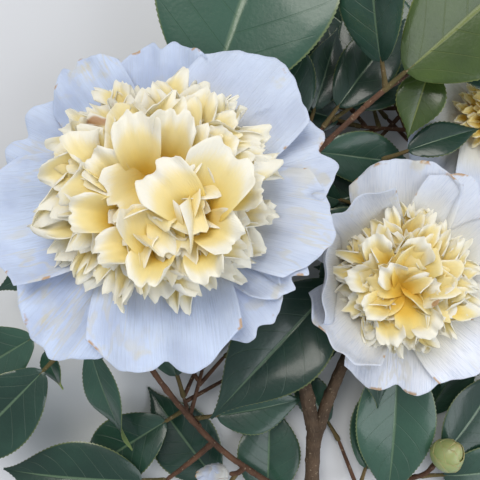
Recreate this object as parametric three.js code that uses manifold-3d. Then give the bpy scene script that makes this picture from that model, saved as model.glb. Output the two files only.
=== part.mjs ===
// A cut camellia branch in flower, lying down with its blooms facing up.
// Millimetres, +Z up. The branch lies on z = 0, and its cut end points to -Y.
import * as THREE from 'three';
import { mergeVertices } from 'three/addons/utils/BufferGeometryUtils.js';
import Module from 'manifold-3d';

const wasm = await Module();
wasm.setup();

// Driving sizes
const GAP = 0.3;
const LIMB_SIDES = 8;
const LIMB_STEP = 9;
const TWIG_SIDES = 4;
const STALK_SIDES = 3;
const TWIG_STEP = 8;
const TWIG_FOOT = 1.5;
const TWIG_TIP = 1.0;
const STALK_LENGTH = 9;
const STALK_RADIUS = 0.9;
const STALK_SINK = 0.08;
const LEAF_ROWS = 4;
const LEAF_THICKNESS = 0.016;
const LEAF_FOLD = 0.34;
const LEAF_ARCH = 0.16;
const LEAF_FLOOR = 0.8;
const STEEPEST_PITCH = 60;
const SAMPLE_ROWS = 7;
const SAMPLE_COLUMNS = [-1, -0.5, 0, 0.5, 1];
const GUARD_THICKNESS = 1.2;
const GUARD_LAYER = 2.4;
const PETALOID_THICKNESS = 1.2;
const CALYX_RADIUS = 7.5;
const CALYX_HEIGHT = 13;
const GOLDEN_ANGLE = 137.5;

// A side twig and its leaves: ranges of sizes and of angles
const SIDE_TWIG = {
  length: [5, 22], pitch: [-10, 10], lowest: 4, tipTurn: [-15, 15], sideTurn: [50, 70],
  leafSize: [0.85, 1.2], leafPitch: [4, 12], roll: [-15, 15], leafWidth: 0.49, droop: 25,
};

// Least distances that a seeded leaf keeps to limbs, blooms and other leaves
const CLEAR_OF_LIMB = 2.5;
const CLEAR_OF_BLOOM = 6;
const CLEAR_OF_LEAF = 4.6;

// How far the branch reaches to each side
const REACH = { west: -108, east: 121, south: -124, north: 121 };

const BARK = { color: 0x6b4a33, roughness: 0.85 };
const LEAF_GREEN = { color: 0x2f4f2c, roughness: 0.35 };
const PETAL_WHITE = { color: 0xf2eee4, roughness: 0.6 };
const BUD_GREEN = { color: 0x9aa35c, roughness: 0.5 };

const radians = THREE.MathUtils.degToRad;
const vector = (p) => new THREE.Vector3(...p);

// The limbs: each course runs from foot to tip, with the radius at both ends. A limb that carries a bloom
// runs on to a gap under that bloom.
const LIMBS = {
  main_stem: { course: [[29, -128, 3.4], [28.2, -101, 9], [28.5, -73, 14]], foot: 3, tip: 2.7 },
  bough_middle: {
    course: [[28.5, -73, 14], [22, -47, 20], [9, -20, 27], [-6, -3, 34], [-15, 2.6, 43]],
    foot: 2.7, tip: 2.2,
  },
  bough_right: {
    course: [[28.4, -80, 12.7], [33.5, -62, 15.5], [45, -36, 16], [54.5, -19, 17]],
    foot: 2.4, tip: 1.9,
  },
  bough_upper: {
    course: [[2, -12.5, 30], [6, 4, 35], [24, 27.5, 42], [41, 43.8, 46]],
    foot: 1.4, tip: 1.1,
  },
  bough_left: {
    course: [[27.9, -105, 8.5], [12, -95, 11.5], [-6.9, -80.3, 16], [-23, -60.8, 22.5], [-38, -36, 32.5]],
    foot: 1.5, tip: 1.2,
  },
  bough_far: {
    course: [[45, -36, 16], [62, -16, 9.5], [78, 10, 8], [84, 34, 9.5]],
    foot: 1.7, tip: 1.5,
  },
};

// The blooms: the place of the guard petals' plane, the lean of the axis and the size of the heart.
// A guard petal is [azimuth, reach, width, rise, bend].
const BLOOMS = {
  bloom_large: {
    centre: [-23.2, 12.6, 70], lean: 14, leanTo: 108, limb: 'bough_middle',
    heart: { radius: 36, height: 33, core: 22, petaloids: 30 }, stalk: 18.5,
    guards: [
      [50, 57, 42, 12, 14], [16, 52, 34, 5, 12], [-12, 50, 33, 12, 16], [-32, 47, 22, 4, 8],
      [-52, 48, 27, 9, 16], [-86, 50, 43, 13, 18], [-128, 54, 34, 5, 12], [-171, 52, 40, 12, 18],
      [153, 52, 34, 6, 14], [124, 54, 26, 12, 18], [92, 53, 30, 5, 12],
    ],
  },
  bloom_right: {
    centre: [54.5, -12.8, 41], lean: 12, leanTo: 180, limb: 'bough_right',
    heart: { radius: 26, height: 22, core: 15, petaloids: 20 }, stalk: 16,
    guards: [
      [88, 40, 37, 16, 18], [47, 40, 34, 10, 16], [6, 40, 36, 16, 22], [-42, 40, 36, 10, 18],
      [-92, 40, 36, 14, 22], [-140, 40, 32, 12, -55], [172, 43, 36, 12, -88], [131, 40, 34, 12, -60],
    ],
  },
  bloom_far: {
    centre: [88, 44, 27], lean: 14, leanTo: 20, limb: 'bough_far',
    heart: { radius: 14, height: 14, core: 9, petaloids: 11 }, stalk: 14,
    guards: [
      [15, 30, 28, 14, 20], [66, 30, 28, 22, 18], [118, 31, 28, 14, 22], [170, 30, 28, 12, 20],
      [222, 30, 28, 8, 20], [273, 30, 28, 20, 20], [325, 30, 26, 14, 20],
    ],
  },
};

// The buds: each stands on the tip of a mass's stem and points on from it.
const BUDS = {
  bud_green: { on: 'foliage_lower_right', radius: 5.6, height: 13 },
  bud_pale: { on: 'foliage_right', radius: 4.2, height: 12 },
  bud_white: { on: 'foliage_spur', radius: 3.6, height: 13 },
};

// The foliage masses: a stem from its bough, the leaves that the photograph shows, then seeded side twigs.
// A leaf is [place on the stem, heading, pitch, roll, length, width, droop].
// The twigs are [how many are tried, seed, middle heading, spread of the headings, leaf length].
const FOLIAGE = {
  foliage_top: {
    course: [[-15.2, 2.8, 43], [-16, 14, 40], [-15.5, 27, 39], [-13.2, 39, 41]], from: 'bough_middle',
    leaves: [[1, 70, 10, -5, 88, 60, 8]],
    twigs: [0, 1, 0, 0, 0],
  },
  foliage_back: {
    course: [[-3, -5, 32.5], [-16, 6, 22], [-31, 11, 13], [-44, 10, 9]], from: 'bough_middle',
    leaves: [[1, 168, 2, -10, 56, 28, 20]],
    twigs: [14, 11, 190, 60, 48],
  },
  foliage_upper_right: {
    course: [[41, 43.8, 46], [47, 48.8, 47.5], [53, 53, 47], [60, 60, 45], [66, 66, 43]], from: 'bough_upper',
    leaves: [
      [0.25, 109, 30, -50, 48, 22, 24], [0.22, 40, 17, 14, 76, 44, 18], [1, -107, 0, 10, 24, 16, 22],
      [0.75, -8, 0, 0, 40, 18, 24],
    ],
    twigs: [0, 1, 0, 0, 0],
  },
  foliage_between: {
    course: [[6, 4, 35], [12, 14, 31], [17, 24, 27], [19.5, 33.5, 24]], from: 'bough_upper',
    leaves: [[1, -7, 0, 8, 40, 19, 26], [0.2, 104, 14, 20, 34, 13, 20]],
    twigs: [40, 23, 60, 80, 46],
  },
  foliage_far: {
    course: [[80, 14, 8], [75, 24, 11], [67, 38, 13], [60, 54, 12]], from: 'bough_far',
    leaves: [],
    twigs: [60, 31, 70, 130, 46],
  },
  foliage_right: {
    course: [[50, -27, 15.5], [48, -20, 19], [42, -11, 22.5], [34.4, -5.3, 25.9]], from: 'bough_right',
    leaves: [
      [0.72, -135, 16, 8, 66, 33, 22], [0.2, -146, 3, 0, 40, 18, 24],
    ],
    twigs: [24, 42, -20, 80, 44],
  },
  foliage_lower_right: {
    course: [[28, -97, 9.5], [44, -99, 9], [60, -95, 9], [71, -92, 11], [75.2, -85, 16.5]], from: 'main_stem',
    leaves: [[0.8, 4, 6, 6, 40, 24, 26], [0.35, 72, 1, 0, 42, 24, 22], [0.9, 50, 2, 8, 42, 24, 24]],
    twigs: [200, 58, 20, 170, 40],
  },
  foliage_lower: {
    course: [[-10, -76.7, 17.2], [-18, -84, 16], [-28, -91, 18]], from: 'bough_left',
    leaves: [[1, 174, 14, 8, 54, 27, 34]],
    twigs: [30, 63, 190, 70, 46],
  },
  foliage_low: {
    course: [[28.5, -111, 7], [20, -113, 6], [9, -111, 5], [-4, -103, 5]], from: 'main_stem',
    leaves: [[0.52, 88, 2, 0, 40, 25, 22], [1, 128, 2, 0, 46, 26, 22]],
    twigs: [60, 75, 60, 120, 44],
  },
  foliage_middle: {
    course: [[-15.4, -70.2, 19.4], [-17.5, -69, 15.5], [-21, -65.5, 12.5]], from: 'bough_left',
    leaves: [[1, -149, 4, 14, 46, 24, 34], [0.5, 10, 6, 0, 35, 18, 22]],
    twigs: [20, 91, 120, 90, 40],
  },
  foliage_left: {
    course: [[-38, -36, 32.5], [-46, -31.5, 33.5], [-54, -29.5, 34], [-73, -31, 30]], from: 'bough_left',
    leaves: [
      [0.5, -76, -6, 10, 46, 14, 26], [0.97, -75, -6, 10, 17, 8, 22], [0.8, -150, -8, 6, 58, 28, 30],
    ],
    twigs: [20, 85, 190, 40, 46],
  },
  foliage_behind: {
    course: [[68, -6, 9], [62, 6, 16], [55.5, 17, 25], [50.5, 28.5, 31]], from: 'bough_far',
    leaves: [[1, 19, 16, -12, 26, 12, 24], [0.5, 200, 4, 0, 36, 18, 22]],
    twigs: [20, 17, 90, 90, 40],
  },
  foliage_base: {
    course: [[28.6, -114, 6.4], [44, -117, 5], [60, -115, 5], [75, -110, 5]], from: 'main_stem',
    leaves: [[1, 20, 2, 0, 40, 22, 24]],
    twigs: [120, 29, 60, 110, 44],
  },
  foliage_edge: {
    course: [[76, 6, 8], [88, -4, 9], [96, -16, 10], [99, -28, 10]], from: 'bough_far',
    leaves: [[1, -62, 2, 0, 36, 20, 24]],
    twigs: [80, 37, -60, 120, 42],
  },
  foliage_front: {
    course: [[62, -16, 9.5], [63, -23, 12.5], [60.5, -32.5, 15]], from: 'bough_far',
    leaves: [[1, -93, 8, 4, 64, 30, 30]],
    twigs: [30, 53, -60, 80, 40],
  },
  foliage_spur: {
    course: [[2, -87.4, 14], [-1, -89.5, 15], [-4, -89.5, 15.5]], from: 'bough_left',
    leaves: [[0.6, 235, 2, 0, 22, 11, 22]],
    twigs: [0, 1, 0, 0, 0],
  },
};

// A smooth curve through the named points of a limb or twig.
function courseOf(points) {
  return new THREE.CatmullRomCurve3(points.map(vector), false, 'centripetal');
}

// Skin over a row of rings with the same number of points each, closed by a flat face at both ends.
function loft(rings) {
  const sides = rings[0].length;
  const position = rings.flat().flatMap((p) => [p.x, p.y, p.z]);
  const index = [];
  for (let r = 0; r + 1 < rings.length; r += 1) {
    for (let s = 0; s < sides; s += 1) {
      const a = r * sides + s;
      const b = r * sides + ((s + 1) % sides);
      index.push(a, b, b + sides, a, b + sides, a + sides);
    }
  }
  const last = (rings.length - 1) * sides;
  for (let s = 1; s + 1 < sides; s += 1) {
    index.push(0, s + 1, s, last, last + s, last + s + 1);
  }
  return solid(position, index);
}

// A solid from vertex positions and triangles that close on themselves.
function solid(position, index) {
  return new wasm.Manifold(new wasm.Mesh({
    numProp: 3,
    vertProperties: new Float32Array(position),
    triVerts: new Uint32Array(index),
  }));
}

// One body from overlapping ones. A hollow that joining them seals comes apart as a body of negative volume,
// and leaving that out fills it.
function joined(parts) {
  const bodies = wasm.Manifold.union(parts).decompose();
  return wasm.Manifold.compose(bodies.filter((body) => body.volume() > 0));
}

// Ring of points round a centre, square to an axis.
function ring(centre, axis, radius, sides) {
  const across = new THREE.Vector3(0, 0, 1).cross(axis);
  if (across.length() < 1e-3) across.set(1, 0, 0);
  across.normalize();
  const other = axis.clone().cross(across).normalize();
  return Array.from({ length: sides }, (_, s) => {
    const turn = (2 * Math.PI * s) / sides;
    return centre.clone()
      .addScaledVector(across, radius * Math.cos(turn))
      .addScaledVector(other, radius * Math.sin(turn));
  });
}

// Round tapering limb along a curve. grow adds a layer all round and at both ends, to cut a clear seat from
// its neighbours.
function limb(curve, foot, tip, sides, step, grow = 0) {
  const steps = Math.max(1, Math.round(curve.getLength() / step));
  const rings = [];
  for (let i = 0; i <= steps; i += 1) {
    const t = i / steps;
    const radius = foot + (tip - foot) * t + grow;
    const tangent = curve.getTangentAt(t);
    const past = (i === steps ? grow : 0) - (i === 0 ? grow : 0);
    rings.push(ring(curve.getPointAt(t).addScaledVector(tangent, past), tangent, radius, sides));
  }
  return loft(rings);
}

// Lens-shaped sheet over a grid of points: thickest inside and closed along its edge.
function sheet(pointAt, rows, columns, thickness) {
  const grid = [];
  for (let i = 0; i <= rows; i += 1) {
    grid.push(Array.from({ length: columns + 1 }, (_, j) => pointAt(i / rows, (2 * j) / columns - 1)));
  }
  const position = [];
  const upper = grid.map((row) => row.map(() => 0));
  const lower = grid.map((row) => row.map(() => 0));
  for (let i = 0; i <= rows; i += 1) {
    for (let j = 0; j <= columns; j += 1) {
      const p = grid[i][j];
      const onEdge = i === 0 || j === 0 || i === rows || j === columns;
      upper[i][j] = position.length / 3;
      if (onEdge) {
        lower[i][j] = upper[i][j];
        position.push(p.x, p.y, p.z);
        continue;
      }
      const along = grid[i + 1][j].clone().sub(grid[i - 1][j]);
      const over = grid[i][j + 1].clone().sub(grid[i][j - 1]);
      const half = along.cross(over).normalize().multiplyScalar(thickness / 2);
      const top = p.clone().add(half);
      const under = p.clone().sub(half);
      position.push(top.x, top.y, top.z, under.x, under.y, under.z);
      lower[i][j] = upper[i][j] + 1;
    }
  }
  const index = [];
  for (let i = 0; i < rows; i += 1) {
    for (let j = 0; j < columns; j += 1) {
      const straight = (i < rows / 2) === (j < columns / 2);
      for (const [face, turned] of [[upper, false], [lower, true]]) {
        const a = face[i][j];
        const b = face[i + 1][j];
        const c = face[i + 1][j + 1];
        const d = face[i][j + 1];
        const pair = straight ? [[a, b, c], [a, c, d]] : [[a, b, d], [b, c, d]];
        for (const [p, q, r] of pair) index.push(...(turned ? [p, r, q] : [p, q, r]));
      }
    }
  }
  return solid(position, index);
}

// Unit vectors of a leaf: forward along the blade, side to its left and up out of its face.
function leafFrame(leaf) {
  const h = radians(leaf.heading);
  const p = radians(leaf.pitch);
  const r = radians(leaf.roll);
  const forward = new THREE.Vector3(Math.cos(h) * Math.cos(p), Math.sin(h) * Math.cos(p), Math.sin(p));
  const level = new THREE.Vector3(-Math.sin(h), Math.cos(h), 0);
  const upright = forward.clone().cross(level);
  const side = level.clone().multiplyScalar(Math.cos(r)).addScaledVector(upright, Math.sin(r));
  const up = upright.clone().multiplyScalar(Math.cos(r)).addScaledVector(level, -Math.sin(r));
  return { forward, side, up };
}

// Half width of a blade as a share of its widest: round at the base, drawn out at the tip.
function leafHalf(u) {
  const swell = Math.sin(Math.PI * u ** 0.82);
  return 0.03 + 0.97 * Math.max(swell, 0) ** (0.75 + 0.9 * u);
}

// Point of a blade: u runs from base to tip on an arc that droops, v from the right edge to the left.
function leafPoint(leaf, u, v) {
  const { forward, side, up } = leaf.frame;
  const bend = radians(leaf.droop);
  const turn = bend * u;
  const along = (leaf.length * Math.sin(turn)) / bend;
  const drop = (leaf.length * (1 - Math.cos(turn))) / bend;
  const half = (leaf.width / 2) * leafHalf(u);
  const rise = half * (LEAF_FOLD * Math.abs(v) - LEAF_ARCH * v * v);
  const out = up.clone().multiplyScalar(Math.cos(turn)).addScaledVector(forward, Math.sin(turn));
  return leaf.base.clone()
    .addScaledVector(forward, along)
    .addScaledVector(up, -drop)
    .addScaledVector(side, v * half)
    .addScaledVector(out, rise);
}

// A leaf on its twig. Its pitch is raised until the whole blade is over the surface that it lies on.
function makeLeaf(curve, [at, heading, pitch, roll, length, width, droop]) {
  const leaf = { heading, pitch, roll, length, width, droop };
  const root = curve.getPointAt(at);
  for (; leaf.pitch < STEEPEST_PITCH; leaf.pitch += 1) {
    leaf.frame = leafFrame(leaf);
    leaf.root = root;
    leaf.base = root.clone().addScaledVector(leaf.frame.forward, STALK_LENGTH);
    if (Math.min(...leafSamples(leaf).map((p) => p.z)) >= LEAF_FLOOR) break;
  }
  return leaf;
}

// Points that stand for a blade where distances are measured.
function leafSamples(leaf) {
  const samples = [];
  for (let i = 0; i < SAMPLE_ROWS; i += 1) {
    for (const v of SAMPLE_COLUMNS) samples.push(leafPoint(leaf, (i + 0.4) / (SAMPLE_ROWS - 0.6), v));
  }
  return samples;
}

// Blade and leaf stalk of one leaf, sunk into each other and into the twig.
function leafSolids(leaf) {
  const blade = sheet((u, v) => leafPoint(leaf, u, v), LEAF_ROWS, 2, LEAF_THICKNESS * leaf.length);
  const inside = leafPoint(leaf, STALK_SINK, 0);
  const stalk = new THREE.LineCurve3(leaf.root, inside);
  return [blade, limb(stalk, STALK_RADIUS, STALK_RADIUS * 0.8, STALK_SIDES, stalk.getLength())];
}

// Unit vectors of a bloom: its axis leans, and azimuth 0 stays over +X.
function bloomFrame(bloom) {
  const lean = radians(bloom.lean);
  const to = radians(bloom.leanTo);
  const axis = new THREE.Vector3(Math.sin(lean) * Math.cos(to), Math.sin(lean) * Math.sin(to), Math.cos(lean));
  const right = new THREE.Vector3(1, 0, 0).addScaledVector(axis, -axis.x).normalize();
  return { axis, right, back: axis.clone().cross(right) };
}

// Point of a petal that starts at radius and height on the bloom's axis, climbs at rise, bends outwards
// along its length and widens from a narrow claw to a rounded end.
function petalPoint(bloom, petal, u, v) {
  const { axis, right, back } = bloom.frame;
  const turn = radians(petal.azimuth);
  const outward = right.clone().multiplyScalar(Math.cos(turn)).addScaledVector(back, Math.sin(turn));
  const across = back.clone().multiplyScalar(Math.cos(turn)).addScaledVector(right, -Math.sin(turn));
  const s = u * (1 - petal.round * v * v * u);
  const start = radians(petal.rise);
  const bend = radians(petal.bend);
  const slope = start - bend * s;
  const radial = petal.radius + (petal.length * (Math.sin(start) - Math.sin(slope))) / bend;
  const height = petal.height + (petal.length * (Math.cos(slope) - Math.cos(start))) / bend;
  const half = (petal.width / 2) * (petal.claw + (1 - petal.claw) * Math.sin((Math.PI / 2) * u ** 0.8));
  const normal = axis.clone().multiplyScalar(Math.cos(slope)).addScaledVector(outward, -Math.sin(slope));
  const twist = radians(petal.twist);
  const over = across.clone().multiplyScalar(Math.cos(twist)).addScaledVector(normal, Math.sin(twist));
  const face = normal.clone().multiplyScalar(Math.cos(twist)).addScaledVector(across, -Math.sin(twist));
  return bloom.place.clone()
    .addScaledVector(outward, radial)
    .addScaledVector(axis, height)
    .addScaledVector(over, v * half)
    .addScaledVector(face, petal.cup * half * v * v);
}

// A guard petal, which spreads from under the heart. Every other one lies a layer higher.
function guardOf([azimuth, reach, width, rise, bend], order) {
  return {
    azimuth, radius: 4, height: -5.5 + GUARD_LAYER * (order % 2), rise, bend, length: reach - 3, width,
    claw: 0.4, round: 0.24, cup: 0.1, twist: 0,
  };
}

// A petaloid of the heart. They stand out of the core by the golden angle, each from its root in the core
// to its tip on a dome: upright inside and nearly flat outside.
function petaloid(bloom, k) {
  const { radius, height, core, petaloids } = bloom.heart;
  const share = Math.sqrt((k + 0.5) / petaloids);
  const root = { radial: core * 0.6 * share, height: -1 };
  const tip = { radial: radius * share, height: 2 + (height - 2) * Math.sqrt(1 - share * share) };
  const bend = 30;
  const climb = Math.atan2(tip.height - root.height, tip.radial - root.radial);
  return {
    azimuth: k * GOLDEN_ANGLE, radius: root.radial, height: root.height,
    rise: THREE.MathUtils.radToDeg(climb) + bend / 2, bend,
    length: Math.hypot(tip.height - root.height, tip.radial - root.radial),
    width: radius * 0.5, claw: 0.5, round: 0.16, cup: 0.35, twist: 34 * Math.sin(k * 2.4),
  };
}

// A bloom in one piece: calyx, guard petals, core and petaloids.
function bloomSolid(bloom) {
  const { axis } = bloom.frame;
  const at = (height) => bloom.place.clone().addScaledVector(axis, height);
  const { radius, core, petaloids, height } = bloom.heart;
  const scale = radius / BLOOMS.bloom_large.heart.radius;
  const foot = -bloom.stalk;
  const calyx = [[foot, 2.6], [foot + 3, CALYX_RADIUS], [foot + CALYX_HEIGHT * scale * 0.7, CALYX_RADIUS * 1.3]];
  const profile = [
    ...calyx.map(([h, r]) => [h, r * scale]),
    [-2, core * 0.8], [height * 0.2, core * 0.95], [height * 0.42, core * 0.7], [height * 0.55, core * 0.2],
  ];
  const parts = [loft(profile.map(([h, r]) => ring(at(h), axis, r, 10)))];
  for (const guard of bloom.guards.map(guardOf)) {
    parts.push(sheet((u, v) => petalPoint(bloom, guard, u, v), 3, 4, GUARD_THICKNESS));
  }
  for (let k = 0; k < petaloids; k += 1) {
    const petal = petaloid(bloom, k);
    parts.push(sheet((u, v) => petalPoint(bloom, petal, 0.3 + 0.7 * u, v), 2, 2, PETALOID_THICKNESS));
  }
  return joined(parts);
}

// A bud: an egg standing on its foot.
function budSolid({ foot, way, radius, height }) {
  const profile = [[0, 0.3], [0.1, 0.72], [0.32, 0.98], [0.6, 0.92], [0.84, 0.55], [1, 0.14]];
  return loft(profile.map(([h, r]) => ring(foot.clone().addScaledVector(way, h * height), way, r * radius, 8)));
}

// Numbers from 0 to 1 in an order fixed by the seed.
function stream(seed) {
  let state = seed;
  return () => {
    state = (state * 48271) % 2147483647;
    return state / 2147483647;
  };
}

// What already takes up room: points, each with the distance that a new leaf keeps from it.
const taken = [];

function take(points, distance) {
  for (const point of points) taken.push({ point, distance });
}

// A leaf is clear when it stays over the floor, within the branch's reach and away from all that is taken.
function isClear(points) {
  return points.every((p) => p.z >= LEAF_FLOOR && p.x > REACH.west && p.x < REACH.east
    && p.y > REACH.south && p.y < REACH.north
    && taken.every(({ point, distance }) => p.distanceTo(point) >= distance));
}

// Points along a curve, a step apart.
function along(curve, step) {
  return curve.getSpacedPoints(Math.ceil(curve.getLength() / step));
}

// The seeded side twigs of a mass. Each has a leaf at its tip and one at its side. A side leaf that is not
// clear is skipped, and so is the whole twig where its end or its tip leaf is not.
function sideTwigs(curve, [count, seed, middle, spread, leafLength]) {
  const next = stream(seed);
  const twigs = [];
  for (let k = 0; k < count; k += 1) {
    const between = (low, high) => low + (high - low) * next();
    const foot = curve.getPointAt(between(0.15, 1));
    const heading = between(middle - spread, middle + spread);
    const reach = between(...SIDE_TWIG.length);
    const pitch = between(...SIDE_TWIG.pitch);
    const turn = between(...SIDE_TWIG.sideTurn) * (k % 2 ? 1 : -1);
    const size = leafLength * between(...SIDE_TWIG.leafSize);
    const end = foot.clone().addScaledVector(leafFrame({ heading, pitch, roll: 0 }).forward, reach);
    end.z = Math.max(end.z, SIDE_TWIG.lowest);
    const twig = new THREE.LineCurve3(foot, end);
    const [tipLeaf, sideLeaf] = [[1, between(...SIDE_TWIG.tipTurn), size], [0.6, turn, size * 0.86]].map(
      ([at, aside, length]) => makeLeaf(twig, [
        at, heading + aside, between(...SIDE_TWIG.leafPitch), between(...SIDE_TWIG.roll),
        length, length * SIDE_TWIG.leafWidth, SIDE_TWIG.droop,
      ]),
    );
    if (!isClear([...along(twig, 4).slice(2), ...leafSamples(tipLeaf)])) continue;
    const leaves = isClear(leafSamples(sideLeaf)) ? [tipLeaf, sideLeaf] : [tipLeaf];
    for (const leaf of leaves) take(leafSamples(leaf), CLEAR_OF_LEAF);
    take(along(twig, 6), CLEAR_OF_LIMB + TWIG_TIP);
    twigs.push({ twig, leaves });
  }
  return twigs;
}

// The whole branch

const curves = {};
const solids = {};
const materials = {};

// A limb's room: the limb with the gap round it.
function seatOf(name) {
  return limb(curves[name], LIMBS[name].foot, LIMBS[name].tip, LIMB_SIDES, LIMB_STEP, GAP);
}

for (const bloom of Object.values(BLOOMS)) {
  bloom.frame = bloomFrame(bloom);
  bloom.place = vector(bloom.centre);
  const end = bloom.place.clone().addScaledVector(bloom.frame.axis, -bloom.stalk - GAP);
  LIMBS[bloom.limb].course.push(end.toArray());
}

for (const [name, { course, foot, tip }] of Object.entries(LIMBS)) {
  curves[name] = courseOf(course);
  let body = limb(curves[name], foot, tip, LIMB_SIDES, LIMB_STEP);
  for (const earlier of Object.keys(solids)) body = body.subtract(seatOf(earlier));
  solids[name] = body;
  materials[name] = BARK;
  take(along(curves[name], 6), CLEAR_OF_LIMB + foot);
}

for (const [name, bloom] of Object.entries(BLOOMS)) {
  solids[name] = bloomSolid(bloom).subtract(seatOf(bloom.limb));
  materials[name] = PETAL_WHITE;
  for (const guard of bloom.guards.map(guardOf)) {
    for (const u of [0.15, 0.4, 0.7, 1]) {
      take([-0.7, 0, 0.7].map((v) => petalPoint(bloom, guard, u, v)), CLEAR_OF_BLOOM);
    }
  }
}

for (const mass of Object.values(FOLIAGE)) mass.curve = courseOf(mass.course);

for (const [name, bud] of Object.entries(BUDS)) {
  const { curve } = FOLIAGE[bud.on];
  bud.way = curve.getTangentAt(1);
  bud.foot = curve.getPointAt(1).addScaledVector(bud.way, GAP);
  solids[name] = budSolid(bud);
  materials[name] = BUD_GREEN;
  take([bud.foot.clone().addScaledVector(bud.way, bud.height / 2)], bud.radius + CLEAR_OF_LIMB);
}

for (const mass of Object.values(FOLIAGE)) {
  mass.shown = mass.leaves.map((spec) => makeLeaf(mass.curve, spec));
  for (const leaf of mass.shown) take(leafSamples(leaf), CLEAR_OF_LEAF);
  take(along(mass.curve, 6).slice(1), CLEAR_OF_LIMB + TWIG_FOOT);
}

for (const [name, mass] of Object.entries(FOLIAGE)) {
  const parts = [limb(mass.curve, TWIG_FOOT, TWIG_TIP, TWIG_SIDES, TWIG_STEP)];
  for (const leaf of mass.shown) parts.push(...leafSolids(leaf));
  for (const { twig, leaves } of sideTwigs(mass.curve, mass.twigs)) {
    parts.push(limb(twig, TWIG_TIP, TWIG_TIP * 0.8, STALK_SIDES, twig.getLength()));
    for (const leaf of leaves) parts.push(...leafSolids(leaf));
  }
  solids[name] = joined(parts).subtract(seatOf(mass.from));
  materials[name] = LEAF_GREEN;
}

const branch = new THREE.Group();
for (const [name, body] of Object.entries(solids)) {
  const { vertProperties, triVerts } = body.getMesh();
  const geometry = new THREE.BufferGeometry();
  geometry.setAttribute('position', new THREE.BufferAttribute(vertProperties, 3));
  geometry.setIndex(new THREE.BufferAttribute(triVerts, 1));
  const mesh = new THREE.Mesh(mergeVertices(geometry), new THREE.MeshStandardMaterial(materials[name]));
  mesh.name = name;
  branch.add(mesh);
}

// The origin is under the middle of the branch.
const box = new THREE.Box3().setFromObject(branch);
const middle = box.getCenter(new THREE.Vector3());
branch.position.set(-middle.x, -middle.y, -box.min.z);

export default branch;
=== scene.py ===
import bpy
import numpy as np
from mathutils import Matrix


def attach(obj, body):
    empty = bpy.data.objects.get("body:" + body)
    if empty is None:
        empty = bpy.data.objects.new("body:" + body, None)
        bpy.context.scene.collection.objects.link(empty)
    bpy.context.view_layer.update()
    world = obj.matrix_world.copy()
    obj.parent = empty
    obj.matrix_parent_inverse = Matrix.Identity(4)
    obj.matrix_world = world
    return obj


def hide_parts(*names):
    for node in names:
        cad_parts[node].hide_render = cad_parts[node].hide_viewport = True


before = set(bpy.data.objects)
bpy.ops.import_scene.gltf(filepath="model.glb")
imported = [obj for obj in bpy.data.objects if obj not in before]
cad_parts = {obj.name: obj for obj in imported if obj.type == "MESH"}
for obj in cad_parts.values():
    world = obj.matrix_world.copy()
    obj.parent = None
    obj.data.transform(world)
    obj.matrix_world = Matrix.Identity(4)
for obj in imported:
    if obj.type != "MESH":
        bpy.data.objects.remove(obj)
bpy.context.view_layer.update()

# Driving sizes. Young wood is drawn at SLENDER times its solid's radius. The petals' formulas hold for a
# heart of the standard radius and a guard petal of the standard reach, and are scaled from there.
TO_ORIGIN = np.array([-0.93, -0.51, -0.46])
STALK_LENGTH = 9
STALK_RADIUS = 0.9
TWIG_FOOT = 1.5
TWIG_TIP = 1.0
SLENDER = 0.8
LEAF_FLOOR = 0.8
STEEPEST_PITCH = 60
LEAF_FOLD = 0.34
LEAF_ARCH = 0.16
LEAF_THICKNESS = 0.45
TOOTH_PITCH = 1.5
TOOTH_HEIGHT = 0.34
VEIN_PAIRS = 8
VEIN_SLANT = 0.22
PETAL_THICKNESS = 0.45
PETALOID_THICKNESS = 0.7 * PETAL_THICKNESS
SEPAL_THICKNESS = 0.7
SCALE_THICKNESS = 0.3
STANDARD_REACH = 50
STANDARD_RADIUS = 34
GUARD_ROOT = 4
GUARD_FOOT = -5.5
GUARD_LAYER = 2.4
HEART_FOOT = 1.5
HEART_CROWDING = 0.41
OUTER_SHARE = 0.72
GOLDEN_ANGLE = 137.5
GAP = 0.3
CAMERA_HEIGHT = 230
CAMERA_LENS = 42
CAMERA_SENSOR = 36

# How fine the meshes are: rows and columns of a petal, sides and spacing of a tube
GUARD_GRID = (44, 40)
BROAD_GRID = (24, 26)
PETALOID_GRID = (13, 14)
SEPAL_GRID = (12, 10)
SCALE_GRID = (14, 14)
LIMB_TUBE = (44, 0.55)
STEM_TUBE = (14, 0.9)
TWIG_TUBE = (10, 1.2)
STALK_TUBE = (8, 1.2)

# Ranges of the seeded side twigs
SIDE_TWIG = {
    "length": (5, 22), "pitch": (-10, 10), "lowest": 4, "tip_turn": (-15, 15), "side_turn": (50, 70),
    "leaf_size": (0.85, 1.2), "leaf_pitch": (4, 12), "roll": (-15, 15), "leaf_width": 0.49, "droop": 25,
}
CLEAR_OF_LIMB = 2.5
CLEAR_OF_BLOOM = 6
CLEAR_OF_LEAF = 4.6
FINE_CLEAR_OF_LEAF = 1.9
FINE_DIP = 25
UNDER_SHOWN = 8
REACH = {"west": -108, "east": 121, "south": -124, "north": 121}

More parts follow.
